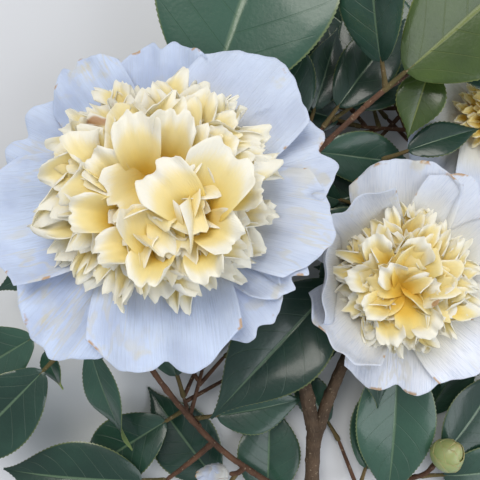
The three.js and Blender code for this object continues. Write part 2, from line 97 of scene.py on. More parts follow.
# Limbs: the points of each course, then the radius at foot and tip
LIMBS = {
    "main_stem": ([[29, -128, 3.4], [28.2, -101, 9], [28.5, -73, 14]], 3, 2.7),
    "bough_middle": ([[28.5, -73, 14], [22, -47, 20], [9, -20, 27], [-6, -3, 34], [-15, 2.6, 43]], 2.7, 2.2),
    "bough_right": ([[28.4, -80, 12.7], [33.5, -62, 15.5], [45, -36, 16], [54.5, -19, 17]], 2.4, 1.9),
    "bough_upper": ([[2, -12.5, 30], [6, 4, 35], [24, 27.5, 42], [41, 43.8, 46]], 1.4, 1.1),
    "bough_left": (
        [[27.9, -105, 8.5], [12, -95, 11.5], [-6.9, -80.3, 16], [-23, -60.8, 22.5], [-38, -36, 32.5]],
        1.5, 1.2,
    ),
    "bough_far": ([[45, -36, 16], [62, -16, 9.5], [78, 10, 8], [84, 34, 9.5]], 1.7, 1.5),
}
YOUNG_WOOD = ("bough_upper", "bough_left", "bough_far")

# Blooms: guards are (azimuth, reach, width, rise, bend), layer lifts every other one and apart steepens it.
# The value after apart paints the guards whiter, and the azimuth after that marks the side where they are
# painted whiter still. This is partly the bloom's own whiteness and partly painted light: the right bloom,
# which lies in shade, and one side of each bloom are painted brighter in place of the light on them. The
# heart has more and finer petaloids than the solids: skirt counts those low round it, drift is how far its
# top is off the axis, gold how deep its yellow is. fans are its broad petaloids, as (east, north, height,
# azimuth, length, width, rise, bend, cup), and hollow is the share of their width that stays free beside
# them.
BLOOMS = {
    "bloom_large": {
        "centre": [-23.2, 12.6, 70], "lean": 14, "lean_to": 108, "limb": "bough_middle", "stalk": 18.5,
        "radius": 36, "height": 33, "core": 22, "petaloids": 140, "skirt": 32, "seed": 5, "layer": 1.2,
        "apart": 0, "whiteness_and_light": 0.1, "painted_light_to": 0, "drift": (4.5, -1.5), "gold": 0, "hollow": 0.2,
        "guards": [
            (50, 53.5, 41, 12, 14), (16, 52, 34, 5, 12), (-12, 50, 33, 12, 16), (-32, 47, 22, 4, 8),
            (-52, 48, 27, 9, 16), (-86, 50, 43, 13, 18), (-128, 54, 34, 5, 12), (-171, 52, 40, 12, 18),
            (153, 52, 34, 6, 14), (124, 54, 26, 12, 18), (92, 53, 30, 5, 12),
        ],
        "fans": [
            (14, -12, 20, 136, 17, 14, 64, 58, 0.3), (16, -11, 20, 52, 19, 17, 64, 56, 0.5),
            (6, -20, 17, 112, 16, 15, 68, 52, 0.7), (1, -1, 18, 95, 18, 12, 66, 46, 0.4),
            (8, 1, 18, 74, 17, 11, 68, 42, 0.4), (15, -14, 16, -30, 14, 11, 62, 56, 0.6),
            (-4, -4, 17, 138, 14, 10, 66, 50, 0.5), (1, -18, 14, -160, 15, 10, 60, 46, 0.5),
            (15, 1, 16, 40, 14, 10, 60, 50, 0.6), (20, -7, 15, 8, 14, 10, 60, 48, 0.4),
            (5, -20, 15, -105, 14, 11, 64, 46, 0.7), (-6, -12, 16, 176, 14, 10, 62, 50, 0.6),
            (14, -19, 14, -62, 13, 10, 60, 48, 0.5), (-7, -8, 14, 158, 14, 9, 56, 52, 0.5),
        ],
    },
    "bloom_right": {
        "centre": [54.5, -12.8, 41], "lean": 12, "lean_to": 180, "limb": "bough_right", "stalk": 16,
        "radius": 26, "height": 22, "core": 15, "petaloids": 110, "skirt": 24, "seed": 8, "layer": 2.4,
        "apart": 1.5, "whiteness_and_light": 0.85, "painted_light_to": -60, "drift": (0, -2.5), "gold": 0.12, "hollow": 0,
        "guards": [
            (88, 40, 37, 16, 18), (47, 40, 34, 10, 16), (6, 40, 36, 16, 22), (-42, 40, 36, 10, 18),
            (-92, 40, 36, 14, 22), (-140, 40, 32, 12, -55), (172, 43, 36, 12, -88), (131, 40, 34, 12, -60),
        ],
        "fans": [
            (2, -4, 10, 12, 12, 11, 60, 48, 0.8), (-8, 6, 10, 100, 12, 9, 66, 50, 0.5),
            (-5, -12, 9, -84, 11, 9, 62, 50, 0.5), (-10, 0, 9, 168, 11, 9, 62, 46, 0.6),
            (-2, 0, 12, 128, 11, 10, 74, 40, 0.5), (3, -10, 9, -40, 12, 10, 64, 48, 0.5),
            (1, 6, 10, 50, 12, 10, 66, 46, 0.5), (-6, -6, 10, -150, 11, 9, 66, 46, 0.6),
        ],
    },
    "bloom_far": {
        "centre": [88, 44, 27], "lean": 14, "lean_to": 20, "limb": "bough_far", "stalk": 14,
        "radius": 14, "height": 14, "core": 9, "petaloids": 50, "skirt": 16, "seed": 13, "layer": 2.4,
        "apart": 3, "whiteness_and_light": 0.6, "painted_light_to": 0, "drift": (0, 0), "gold": 0.7, "hollow": 0,
        "guards": [
            (15, 30, 28, 14, 20), (66, 30, 28, 22, 18), (118, 31, 28, 14, 22), (170, 30, 28, 12, 20),
            (222, 30, 28, 8, 20), (273, 30, 28, 20, 20), (325, 30, 26, 14, 20),
        ],
        "fans": [],
    },
}

BUDS = {
    "bud_green": ("foliage_lower_right", 5.6, 13), "bud_pale": ("foliage_right", 4.2, 12),
    "bud_white": ("foliage_spur", 3.6, 13),
}

# Foliage masses: the stem's course, its leaves as [place on the stem, heading, pitch, roll, length, width,
# droop], and the side twigs as (tries, seed, middle heading, spread, leaf length). The finer twigs, which
# only show here, get twice fine tries on each stem and twig.
FOLIAGE = {
    "foliage_top": {
        "course": [[-15.2, 2.8, 43], [-16, 14, 40], [-15.5, 27, 39], [-13.2, 39, 41]],
        "leaves": [[1, 70, 10, -5, 88, 60, 8]], "twigs": (0, 1, 0, 0, 0), "fine": 0,
    },
    "foliage_back": {
        "course": [[-3, -5, 32.5], [-16, 6, 22], [-31, 11, 13], [-44, 10, 9]],
        "leaves": [[1, 168, 2, -10, 56, 28, 20]], "twigs": (14, 11, 190, 60, 48), "fine": 12,
    },
    "foliage_upper_right": {
        "course": [[41, 43.8, 46], [47, 48.8, 47.5], [53, 53, 47], [60, 60, 45], [66, 66, 43]],
        "leaves": [
            [0.25, 109, 30, -50, 48, 22, 24], [0.22, 40, 17, 14, 76, 44, 18], [1, -107, 0, 10, 24, 16, 22],
            [0.75, -8, 0, 0, 40, 18, 24],
        ],
        "twigs": (0, 1, 0, 0, 0), "fine": 0,
    },
    "foliage_between": {
        "course": [[6, 4, 35], [12, 14, 31], [17, 24, 27], [19.5, 33.5, 24]],
        "leaves": [[1, -7, 0, 8, 40, 19, 26], [0.2, 104, 14, 20, 34, 13, 20]],
        "twigs": (40, 23, 60, 80, 46), "fine": 30,
    },
    "foliage_far": {
        "course": [[80, 14, 8], [75, 24, 11], [67, 38, 13], [60, 54, 12]],
        "leaves": [], "twigs": (60, 31, 70, 130, 46), "fine": 30,
    },
    "foliage_right": {
        "course": [[50, -27, 15.5], [48, -20, 19], [42, -11, 22.5], [34.4, -5.3, 25.9]],
        "leaves": [
            [0.72, -135, 16, 8, 66, 33, 22], [0.2, -146, 3, 0, 40, 18, 24],
        ],
        "twigs": (24, 42, -20, 80, 44), "fine": 30,
    },
    "foliage_lower_right": {
        "course": [[28, -97, 9.5], [44, -99, 9], [60, -95, 9], [71, -92, 11], [75.2, -85, 16.5]],
        "leaves": [[0.8, 4, 6, 6, 40, 24, 26], [0.35, 72, 1, 0, 42, 24, 22], [0.9, 50, 2, 8, 42, 24, 24]],
        "twigs": (200, 58, 20, 170, 40), "fine": 40,
    },
    "foliage_lower": {
        "course": [[-10, -76.7, 17.2], [-18, -84, 16], [-28, -91, 18]],
        "leaves": [[1, 174, 14, 8, 54, 27, 34]],
        "twigs": (30, 63, 190, 70, 46), "fine": 20,
    },
    "foliage_low": {
        "course": [[28.5, -111, 7], [20, -113, 6], [9, -111, 5], [-4, -103, 5]],
        "leaves": [[0.52, 88, 2, 0, 40, 25, 22], [1, 128, 2, 0, 46, 26, 22]],
        "twigs": (60, 75, 60, 120, 44), "fine": 30,
    },
    "foliage_middle": {
        "course": [[-15.4, -70.2, 19.4], [-17.5, -69, 15.5], [-21, -65.5, 12.5]],
        "leaves": [[1, -149, 4, 14, 46, 24, 34], [0.5, 10, 6, 0, 35, 18, 22]],
        "twigs": (20, 91, 120, 90, 40), "fine": 20,
    },
    "foliage_left": {
        "course": [[-38, -36, 32.5], [-46, -31.5, 33.5], [-54, -29.5, 34], [-73, -31, 30]],
        "leaves": [
            [0.5, -76, -6, 10, 46, 14, 26], [0.97, -75, -6, 10, 17, 8, 22], [0.8, -150, -8, 6, 58, 28, 30],
        ],
        "twigs": (20, 85, 190, 40, 46), "fine": 20,
    },
    "foliage_behind": {
        "course": [[68, -6, 9], [62, 6, 16], [55.5, 17, 25], [50.5, 28.5, 31]],
        "leaves": [[1, 19, 16, -12, 26, 12, 24], [0.5, 200, 4, 0, 36, 18, 22]],
        "twigs": (20, 17, 90, 90, 40), "fine": 20,
    },
    "foliage_base": {
        "course": [[28.6, -114, 6.4], [44, -117, 5], [60, -115, 5], [75, -110, 5]],
        "leaves": [[1, 20, 2, 0, 40, 22, 24]], "twigs": (120, 29, 60, 110, 44), "fine": 30,
    },
    "foliage_edge": {
        "course": [[76, 6, 8], [88, -4, 9], [96, -16, 10], [99, -28, 10]],
        "leaves": [[1, -62, 2, 0, 36, 20, 24]], "twigs": (80, 37, -60, 120, 42), "fine": 30,
    },
    "foliage_front": {
        "course": [[62, -16, 9.5], [63, -23, 12.5], [60.5, -32.5, 15]],
        "leaves": [[1, -93, 8, 4, 64, 30, 30]], "twigs": (30, 53, -60, 80, 40), "fine": 20,
    },
    "foliage_spur": {
        "course": [[2, -87.4, 14], [-1, -89.5, 15], [-4, -89.5, 15.5]],
        "leaves": [[0.6, 235, 2, 0, 22, 11, 22]], "twigs": (0, 1, 0, 0, 0), "fine": 0,
    },
}

# What sets some of the leaves in these lists apart: young colour, a twisted, yellowed or scorched tip, a
# wavier margin, and a set tint. A tint of 1 paints the front and top leaves lighter as painted sheen; a low
# tint paints a blade darker.
LEAF_LOOKS = {
    "foliage_upper_right": {1: {"young": True}, 2: {"young": True}},
    "foliage_left": {0: {"twist": 95, "fade": 0.9}, 1: {"twist": 60, "fade": 1}},
    "foliage_middle": {1: {"burn": 1}},
    "foliage_front": {0: {"wave": 1.3, "tint": 1}},
    "foliage_top": {0: {"wave": 0.9, "tint": 1}},
    "foliage_right": {0: {"wave": 1.1, "tint": 0.1}},
    "foliage_behind": {0: {"tint": 0}},
}


def unit(v):
    """The vectors, each over its own length."""
    return v / np.maximum(np.linalg.norm(v, axis=-1, keepdims=True), 1e-12)


def step(x, low, high):
    """0 below low, 1 above high, and a smooth cubic between."""
    t = np.clip((x - low) / (high - low), 0, 1)
    return t * t * (3 - 2 * t)


def towards(first, second, angle):
    """Directions at the angles from the first one towards the second, which is square to it."""
    return first * np.cos(angle)[..., None] + second * np.sin(angle)[..., None]


def arc(length, start, bend, share):
    """How far out and up a circular arc goes in a share of its length, from its rise at the start."""
    at = start - bend * share
    return length * (np.sin(start) - np.sin(at)) / bend, length * (np.cos(at) - np.cos(start)) / bend


def in_metres(places):
    """Places in millimetres, from the part's own origin in metres."""
    return (np.array(places, float) + TO_ORIGIN) / 1000


LATTICE_SIZE = 32
LATTICE = np.random.default_rng(17).uniform(-1, 1, (LATTICE_SIZE,) * 3)


def grain(p):
    """Smooth noise: seeded values on a lattice of one unit, blended in three directions by a smooth cubic."""
    cell = np.floor(p).astype(int)
    f = p - cell
    f = f * f * (3 - 2 * f)
    total = 0
    for corner in np.ndindex(2, 2, 2):
        weight = np.prod(np.where(corner, f, 1 - f), axis=-1)
        x, y, z = np.moveaxis((cell + corner) % LATTICE_SIZE, -1, 0)
        total = total + weight * LATTICE[x, y, z]
    return total


COURSE_MARKS = np.linspace(0, 1, 201)


class Course:
    """A smooth curve through named points, read by the share of its length. Each stretch is a cubic whose
    slopes follow from the square roots of the distances between the points round it."""

    def __init__(self, points):
        self.points = np.array(points, float)
        marks = self.raw(COURSE_MARKS)
        spans = np.linalg.norm(np.diff(marks, axis=0), axis=1)
        self.travelled = np.concatenate([[0], np.cumsum(spans)])
        self.length = self.travelled[-1]

    def raw(self, t):
        p = self.points
        place = np.asarray(t, float) * (len(p) - 1)
        stretch = np.minimum(place.astype(int), len(p) - 2)
        w = (place - stretch)[..., None]
        row = np.vstack([2 * p[0] - p[1], p, 2 * p[-1] - p[-2]])
        a, b, c, d = (row[stretch + k] for k in range(4))
        ab, bc, cd = (np.sum((q - r) ** 2, -1, keepdims=True) ** 0.25 for q, r in ((b, a), (c, b), (d, c)))
        out = ((b - a) / ab - (c - a) / (ab + bc) + (c - b) / bc) * bc
        into = ((c - b) / bc - (d - b) / (bc + cd) + (d - c) / cd) * bc
        return b + w * (out + w * (3 * (c - b) - 2 * out - into + w * (2 * (b - c) + out + into)))

    def parameter(self, share):
        return np.interp(np.asarray(share, float) * self.length, self.travelled, COURSE_MARKS)

    def at(self, share):
        return self.raw(self.parameter(share))

    def way(self, share):
        t = self.parameter(share)
        return unit(self.raw(np.minimum(t + 1e-4, 1)) - self.raw(np.maximum(t - 1e-4, 0)))

    def spaced(self, distance):
        return self.at(np.linspace(0, 1, int(np.ceil(self.length / distance)) + 1))


def bloom_axes(bloom):
    """Unit vectors of a bloom: right over +X, back, and the leaning axis."""
    lean, to = np.radians(bloom["lean"]), np.radians(bloom["lean_to"])
    axis = np.array([np.sin(lean) * np.cos(to), np.sin(lean) * np.sin(to), np.cos(lean)])
    right = unit(np.array([1, 0, 0]) - axis * axis[0])
    return right, np.cross(axis, right), axis


# How the petals and leaves are shaped: what a petal is where its own values say nothing else
PLAIN_PETAL = {
    "claw": 0.4, "round": 0.24, "power": 2, "cup": 0.1, "twist": 0, "tip_twist": 0, "sway": 0, "curl": 0,
    "rim": 0, "phase": 0, "notch": 0, "fray": [], "wave": 0, "waves": 1, "pleat": 0, "pleats": 1,
}


def petal_surface(bloom, petal, u, v):
    """Point of a petal. It starts at a root beside the bloom's axis, climbs at its rise and bends along its
    length on a circular arc. Across, it widens from a narrow claw as a quarter sine, is cupped as the square
    of v, and is turned by its twist. The end is drawn in as a power of v, notched, and frayed by sines.
    Waves along the rim and pleats across are added square to the face."""
    right, back, axis = bloom["axes"]
    turn = np.radians(petal["azimuth"]) + petal["sway"] * u * u
    outward, across = towards(right, back, turn), towards(back, -right, turn)
    fray = sum(
        size * np.sin(waves * v + petal["phase"] * (n + 1))
        for n, (size, waves) in enumerate(petal["fray"])
    )
    end = petal["round"] * np.abs(v) ** petal["power"] + petal["notch"] * np.exp(-(v / 0.16) ** 2)
    s = u * (1 - end * u - fray * u ** 4)
    start, bend = np.radians(petal["rise"]), np.radians(petal["bend"])
    curl = np.radians(petal["curl"])
    slope = start - bend * s - curl * np.maximum(s - 0.6, 0) ** 2 * 6
    reach, climb = arc(petal["length"], start, bend, s)
    hook = petal["length"] * curl * np.maximum(s - 0.6, 0) ** 3 * 2
    reach, climb = reach + hook * np.sin(slope), climb - hook * np.cos(slope)
    half = petal["width"] / 2 * (petal["claw"] + (1 - petal["claw"]) * np.sin(np.pi / 2 * u ** 0.8))
    normal = towards(axis, -outward, slope)
    twist = np.radians(petal["twist"] + petal["tip_twist"] * u * u)
    over, face = towards(across, normal, twist), towards(normal, -across, twist)
    wave = petal["wave"] * (0.25 + v * v) * u * u * np.sin(petal["waves"] * (u + 0.35 * v) + petal["phase"])
    pleat = petal["pleat"] * u * u * np.sin(petal["pleats"] * v + 2 * petal["phase"])
    rim = petal["rim"] * step(np.maximum(np.abs(v), u), 0.82, 1)
    lift = petal["cup"] * half * v * v + wave + pleat + rim
    return (
        bloom["place"] + right * petal["x"] + back * petal["y"] + axis * petal["height"]
        + outward * reach[..., None] + axis * climb[..., None]
        + over * (v * half)[..., None] + face * lift[..., None]
    )


def plain_guard(order, spec):
    """The plain guard petal, shaped as in the solids, which seeded leaves keep clear of. It spreads from
    under the heart, and every other one lies a layer higher."""
    azimuth, reach, width, rise, bend = spec
    turn = np.radians(azimuth)
    return {
        **PLAIN_PETAL, "azimuth": azimuth, "x": GUARD_ROOT * np.cos(turn), "y": GUARD_ROOT * np.sin(turn),
        "height": GUARD_FOOT + GUARD_LAYER * (order % 2), "rise": rise, "bend": bend, "length": reach - 3,
        "width": width,
    }


def guard_petal(order, spec, bloom, chance):
    """The guard petal that shows: notched, frayed, waved and pleated, its rim turned up or down."""
    plain = plain_guard(order, spec)
    size = spec[1] / STANDARD_REACH
    return {
        **plain, "height": GUARD_FOOT + bloom["layer"] * (order % 2),
        "rise": plain["rise"] + bloom["apart"] * (order % 2 - 0.6), "phase": chance.uniform(0, 6),
        "notch": chance.choice([0, 0.04, 0.09]), "fray": [(0.014, 6), (0.008, 11), (0.003, 27)],
        "wave": chance.uniform(1.2, 2.3) * size, "waves": chance.uniform(3.5, 7),
        "pleat": chance.uniform(0.7, 1.2) * size, "pleats": chance.uniform(7, 12),
        "rim": chance.uniform(-1.0, 1.6) * size,
    }


def heart_petal(k, bloom, chance):
    """A petaloid, placed by the golden angle, that opens outward from its root to a tip on a dome. Inner ones
    are broad and stand up, outer ones are narrow, pointed and lie outward."""
    share = min(((k + 0.9) / bloom["petaloids"]) ** HEART_CROWDING, 1)
    inner = 1 - share
    place = np.radians(k * GOLDEN_ANGLE + chance.uniform(-8, 8))
    size = bloom["radius"] / STANDARD_RADIUS
    azimuth = np.degrees(place) + chance.uniform(-1, 1) * (14 + 110 * inner * inner)
    rise = 80 - 58 * share ** 1.7 + chance.uniform(-9, 6)
    bend = (25 + 27 * np.sin(np.pi * share ** 0.9)) * min(1, 0.35 + 2.2 * share) + chance.uniform(-8, 14)
    length = (15.5 + 14 * share * inner + chance.uniform(-1.5, 2.5)) * size ** 0.85
    reach, climb = arc(length, np.radians(rise), np.radians(bend), 1)
    root = max(bloom["radius"] * share * chance.uniform(0.92, 1.02) - reach, 0.8)
    lump = 1 + 0.10 * np.sin(3 * place + bloom["seed"]) + 0.06 * np.sin(7 * place)
    dome = (bloom["height"] * 0.96 * lump - HEART_FOOT) * np.sqrt(1 - share * share)
    top = HEART_FOOT + dome - chance.uniform(0, 5 + 4 * inner) * size
    top -= 4 * inner * (len(bloom["fans"]) > 0)
    if k >= bloom["petaloids"]:
        top = chance.uniform(1, 12) * size
    scatter = chance.uniform(-9, 9, 2) * inner ** 2 * size
    east, north = np.array(bloom["drift"]) * top / bloom["height"] + scatter
    return {
        **PLAIN_PETAL, "grid": PETALOID_GRID, "share": share, "azimuth": azimuth,
        "x": root * np.cos(place) + east, "y": root * np.sin(place) + north, "height": top - climb,
        "rise": rise, "bend": bend, "length": length,
        "width": (6 + 12 * inner ** 0.8) * chance.uniform(0.75, 1.3) * size ** 0.85,
        "claw": 0.5, "round": 0.22 + 0.22 * share + chance.uniform(-0.1, 0.12), "power": 2.6 - 0.9 * share,
        "cup": chance.uniform(0, 0.8), "twist": chance.uniform(-1, 1) * (14 + 4 * inner),
        "tip_twist": chance.uniform(-22, 22), "phase": chance.uniform(0, 6),
        "curl": chance.uniform(-10, 35) * inner, "notch": chance.choice([0, 0.05, 0.1, 0.18]),
        "fray": [(0.05, 4), (0.035, 9), (0.016, 12)],
        "wave": chance.uniform(0.6, 1.8 + 1.6 * inner) * size, "waves": chance.uniform(3, 6),
        "pleat": chance.uniform(0.4, 1.4) * size, "pleats": chance.uniform(4, 9),
        "sway": chance.uniform(-0.5, 0.5), "pale": 0.75 * share ** 3,
    }


def beside_fans(petal, bloom):
    """True for an outer petaloid, and for one whose root is clear of the hollow beside every broad one: a
    circle round a point that is half the hollow further in."""
    for east, north, _, azimuth, _, width, *_ in bloom["fans"]:
        hollow = bloom["hollow"] * width
        turn = np.radians(azimuth)
        x = petal["x"] - east + hollow / 2 * np.cos(turn)
        y = petal["y"] - north + hollow / 2 * np.sin(turn)
        if np.hypot(x, y) < hollow and petal["share"] < OUTER_SHARE:
            return False
    return True


def held_in(surface, bloom):
    """The petaloid, moved towards the bloom's axis by as much as it reaches past the heart's radius."""
    axis = bloom["axes"][2]
    out = surface - bloom["place"]
    out = out - (out @ axis)[..., None] * axis
    far = np.linalg.norm(out, axis=-1)
    most = np.unravel_index(far.argmax(), far.shape)
    return surface - unit(out[most]) * max(far[most] - bloom["radius"], 0)


def fan_petal(spec, bloom, chance):
    """A broad inner petaloid, from its row in the table."""
    east, north, height, azimuth, length, width, rise, bend, cup = spec
    return {
        **PLAIN_PETAL, "grid": BROAD_GRID, "azimuth": azimuth, "x": east, "y": north, "height": height,
        "rise": rise, "bend": bend, "length": length, "width": width, "claw": 0.45, "round": 0.22,
        "power": 2.4, "cup": cup, "tip_twist": chance.uniform(-14, 14), "phase": chance.uniform(0, 6),
        "curl": 12, "notch": 0.06, "fray": [(0.03, 5), (0.02, 11), (0.011, 21)], "wave": 1.3, "waves": 5,
        "pleat": 0.8, "pleats": 7, "pale": 0.4 + 0.5 * bloom["whiteness_and_light"],
    }


def leaf_axes(heading, pitch, roll):
    """Unit vectors of a leaf: forward along the blade, side to its left, and up out of its face."""
    h, p, r = np.radians([heading, pitch, roll])
    forward = np.array([np.cos(h) * np.cos(p), np.sin(h) * np.cos(p), np.sin(p)])
    level = np.array([-np.sin(h), np.cos(h), 0])
    upright = np.cross(forward, level)
    return forward, level * np.cos(r) + upright * np.sin(r), upright * np.cos(r) - level * np.sin(r)


def leaf_half(u):
    """Half width of a blade as a share of its widest: round at the base, drawn out at the tip."""
    return 0.03 + 0.97 * np.maximum(np.sin(np.pi * u ** 0.82), 0) ** (0.75 + 0.9 * u)


def leaf_surface(leaf, u, v, lift=0, edge=0):
    """Point of a blade: an arc that droops from base to tip, folded up along the midrib and arched across.
    lift is added square to the face, edge to the half width, and the blade turns by its twist."""
    forward, side, up = leaf["axes"]
    bend = np.radians(leaf["droop"])
    turn = bend * u
    along = leaf["length"] * np.sin(turn) / bend
    drop = leaf["length"] * (1 - np.cos(turn)) / bend
    half = leaf["width"] / 2 * leaf_half(u) + edge
    rise = half * (LEAF_FOLD * np.abs(v) - LEAF_ARCH * v * v) + lift
    out = towards(up, forward, turn)
    twist = np.radians(leaf.get("twist", 0)) * u * u
    over, face = towards(side, out, twist), towards(out, -side, twist)
    return (
        leaf["base"] + forward * along[..., None] - up * drop[..., None]
        + over * (v * half)[..., None] + face * rise[..., None]
    )


SAMPLE_U, SAMPLE_V = np.meshgrid((np.arange(7) + 0.4) / 6.4, [-1, -0.5, 0, 0.5, 1], indexing="ij")


def leaf_samples(leaf):
    """Points that stand for a blade where distances are measured."""
    return leaf_surface({**leaf, "twist": 0}, SAMPLE_U, SAMPLE_V).reshape(-1, 3)


def make_leaf(course, at, heading, pitch, roll, length, width, droop):
    """A leaf on its twig. Its pitch is raised until the whole blade is over the surface it lies on."""
    leaf = {"root": course.at(at), "length": length, "width": width, "droop": droop, "heading": heading}
    while pitch < STEEPEST_PITCH:
        leaf["axes"] = leaf_axes(heading, pitch, roll)
        leaf["base"] = leaf["root"] + leaf["axes"][0] * STALK_LENGTH
        if leaf_samples(leaf)[:, 2].min() >= LEAF_FLOOR:
            break
        pitch += 1
    return leaf


def number_stream(seed):
    """Numbers from 0 to 1 in an order fixed by the seed: each is the last times 48271, modulo 2147483647."""
    state = seed
    while True:
        state = state * 48271 % 2147483647
        yield state / 2147483647


class Room:
    """What already takes up room: points, each with the distance that a new leaf keeps from it."""

    def __init__(self):
        self.points = np.zeros((0, 3))
        self.distances = np.zeros(0)
        self.leaf = np.zeros(0, bool)
        self.roof = np.zeros((0, 3))

    def take(self, points, distance, leaf=False):
        points = np.asarray(points).reshape(-1, 3)
        self.points = np.vstack([self.points, points])
        self.distances = np.append(self.distances, np.full(len(points), float(distance)))
        self.leaf = np.append(self.leaf, np.full(len(points), leaf))

    def is_clear(self, points, finer=False):
        """Whether a new leaf keeps its distances. A finer one may come closer to other leaves, but keeps
        under the shown ones."""
        low, high = points.min(0), points.max(0)
        if low[2] < LEAF_FLOOR or low[0] <= REACH["west"] or high[0] >= REACH["east"]:
            return False
        if low[1] <= REACH["south"] or high[1] >= REACH["north"]:
            return False
        needed = self.distances
        if finer:
            needed = np.where(self.leaf, FINE_CLEAR_OF_LEAF, needed)
            over = np.linalg.norm(points[:, None, :2] - self.roof[None, :, :2], axis=-1) < UNDER_SHOWN
            if (over & (points[:, None, 2] > self.roof[None, :, 2] - 1)).any():
                return False
        apart = np.linalg.norm(points[:, None] - self.points[None], axis=-1)
        return bool((apart >= needed).all())


def side_twigs(room, course, tries, seed, middle, spread, leaf_length, finer=False):
    """The seeded side twigs of a mass. Each has a leaf at its tip and one at its side. A side leaf that is
    not clear is skipped, and so is the whole twig where its end or its tip leaf is not."""
    numbers = number_stream(seed)

    def between(low, high):
        return low + (high - low) * next(numbers)

    grown = []
    for k in range(tries):
        foot = course.at(between(0.15, 1))
        heading = between(middle - spread, middle + spread)
        reach = between(*SIDE_TWIG["length"])
        pitch = between(*SIDE_TWIG["pitch"]) - FINE_DIP * finer
        turn = between(*SIDE_TWIG["side_turn"]) * (1 if k % 2 else -1)
        size = leaf_length * between(*SIDE_TWIG["leaf_size"])
        end = foot + leaf_axes(heading, pitch, 0)[0] * reach
        end[2] = max(end[2], SIDE_TWIG["lowest"])
        twig = Course([foot, end])
        plan = [(1, between(*SIDE_TWIG["tip_turn"]), size), (0.6, turn, size * 0.86)]
        tip_leaf, side_leaf = [
            make_leaf(
                twig, at, heading + aside, between(*SIDE_TWIG["leaf_pitch"]), between(*SIDE_TWIG["roll"]),
                length, length * SIDE_TWIG["leaf_width"], SIDE_TWIG["droop"],
            )
            for at, aside, length in plan
        ]
        needed = np.vstack([twig.spaced(4)[2:], leaf_samples(tip_leaf)])
        if not room.is_clear(needed, finer):
            continue
        leaves = [tip_leaf]
        if room.is_clear(leaf_samples(side_leaf), finer):
            leaves.append(side_leaf)
        for leaf in leaves:
            room.take(leaf_samples(leaf), CLEAR_OF_LEAF, leaf=True)
        room.take(twig.spaced(6), CLEAR_OF_LIMB + TWIG_TIP)
        grown.append((twig, leaves))
    return grown


# How meshes are put together


class Skin:
    """Collects closed surfaces and makes one mesh of them."""

    def __init__(self):
        self.places, self.faces, self.maps, self.slots, self.tints = [], [], [], [], []
        self.count = 0

    def add(self, places, faces, uv, slots, tint=0.0):
        self.places.append(places)
        self.faces.extend(f + self.count for f in faces)
        self.slots.extend(slots)
        self.maps.append(uv)
        self.tints.append(np.broadcast_to(np.asarray(tint, float), (len(places),)))
        self.count += len(places)

    def put_down(self, name, materials, slot, nodes, smooth_to=50):
        """Makes the mesh in metres, lets it ride, and hides the solids it stands for."""
        mesh = bpy.data.meshes.new(name)
        places = in_metres(np.vstack(self.places))
        totals = np.concatenate([np.full(len(f), f.shape[1]) for f in self.faces])
        corners = np.concatenate([f.ravel() for f in self.faces])
        mesh.vertices.add(len(places))
        mesh.vertices.foreach_set("co", places.ravel())
        mesh.loops.add(len(corners))
        mesh.loops.foreach_set("vertex_index", corners)
        mesh.polygons.add(len(totals))
        mesh.polygons.foreach_set("loop_start", np.concatenate([[0], np.cumsum(totals)[:-1]]))
        mesh.polygons.foreach_set("loop_total", totals)
        chosen = np.concatenate([np.broadcast_to(s, (len(f),)) for s, f in zip(self.slots, self.faces)])
        mesh.polygons.foreach_set("material_index", chosen.astype(np.int32))
        mesh.update(calc_edges=True)
        layer = mesh.uv_layers.new(name="shape")
        layer.data.foreach_set("uv", np.vstack(self.maps)[corners].ravel())
        tint = mesh.attributes.new("tint", "FLOAT", "POINT")
        tint.data.foreach_set("value", np.concatenate(self.tints))
        for material in materials:
            mesh.materials.append(material)
        mesh.polygons.foreach_set("use_smooth", np.ones(len(totals), bool))
        mesh.set_sharp_from_angle(angle=np.radians(smooth_to))
        piece = bpy.data.objects.new(name, mesh)
        bpy.context.scene.collection.objects.link(piece)
        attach(piece, "root")
        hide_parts(*nodes)
        return piece


def shell(skin, middle, u, v, thickness, slots=(0, 0), tint=0.0, under=0.0):
    """Closed sheet on both sides of a grid of points: each side is half the thickness off along the face's
    normal, the underside by under more, and both meet on the grid's edge."""
    rows, columns = middle.shape[:2]
    normal = unit(np.cross(np.gradient(middle, axis=0), np.gradient(middle, axis=1)))
    half = np.broadcast_to(thickness / 2, u.shape)[..., None] * np.ones_like(middle[..., :1])
    inner = (slice(1, -1), slice(1, -1))
    top = middle.copy()
    top[inner] += (normal * half)[inner]
    below = (middle - normal * (half + np.broadcast_to(under, u.shape)[..., None]))[inner]
    upper = np.arange(rows * columns).reshape(rows, columns)
    lower = upper.copy()
    lower[inner] = rows * columns + np.arange((rows - 2) * (columns - 2)).reshape(rows - 2, columns - 2)
    quads = []
    for grid in (upper, lower):
        a, b, c, d = grid[:-1, :-1], grid[1:, :-1], grid[1:, 1:], grid[:-1, 1:]
        quads.append(np.stack([a, b, c, d] if grid is upper else [a, d, c, b], -1).reshape(-1, 4))
    uv = np.stack([(v + 1) / 2, u], -1)
    tint = np.broadcast_to(np.asarray(tint, float), u.shape)
    skin.add(
        np.vstack([top.reshape(-1, 3), below.reshape(-1, 3)]), quads,
        np.vstack([uv.reshape(-1, 2), uv[inner].reshape(-1, 2)]), slots,
        np.concatenate([tint.ravel(), tint[inner].ravel()]),
    )


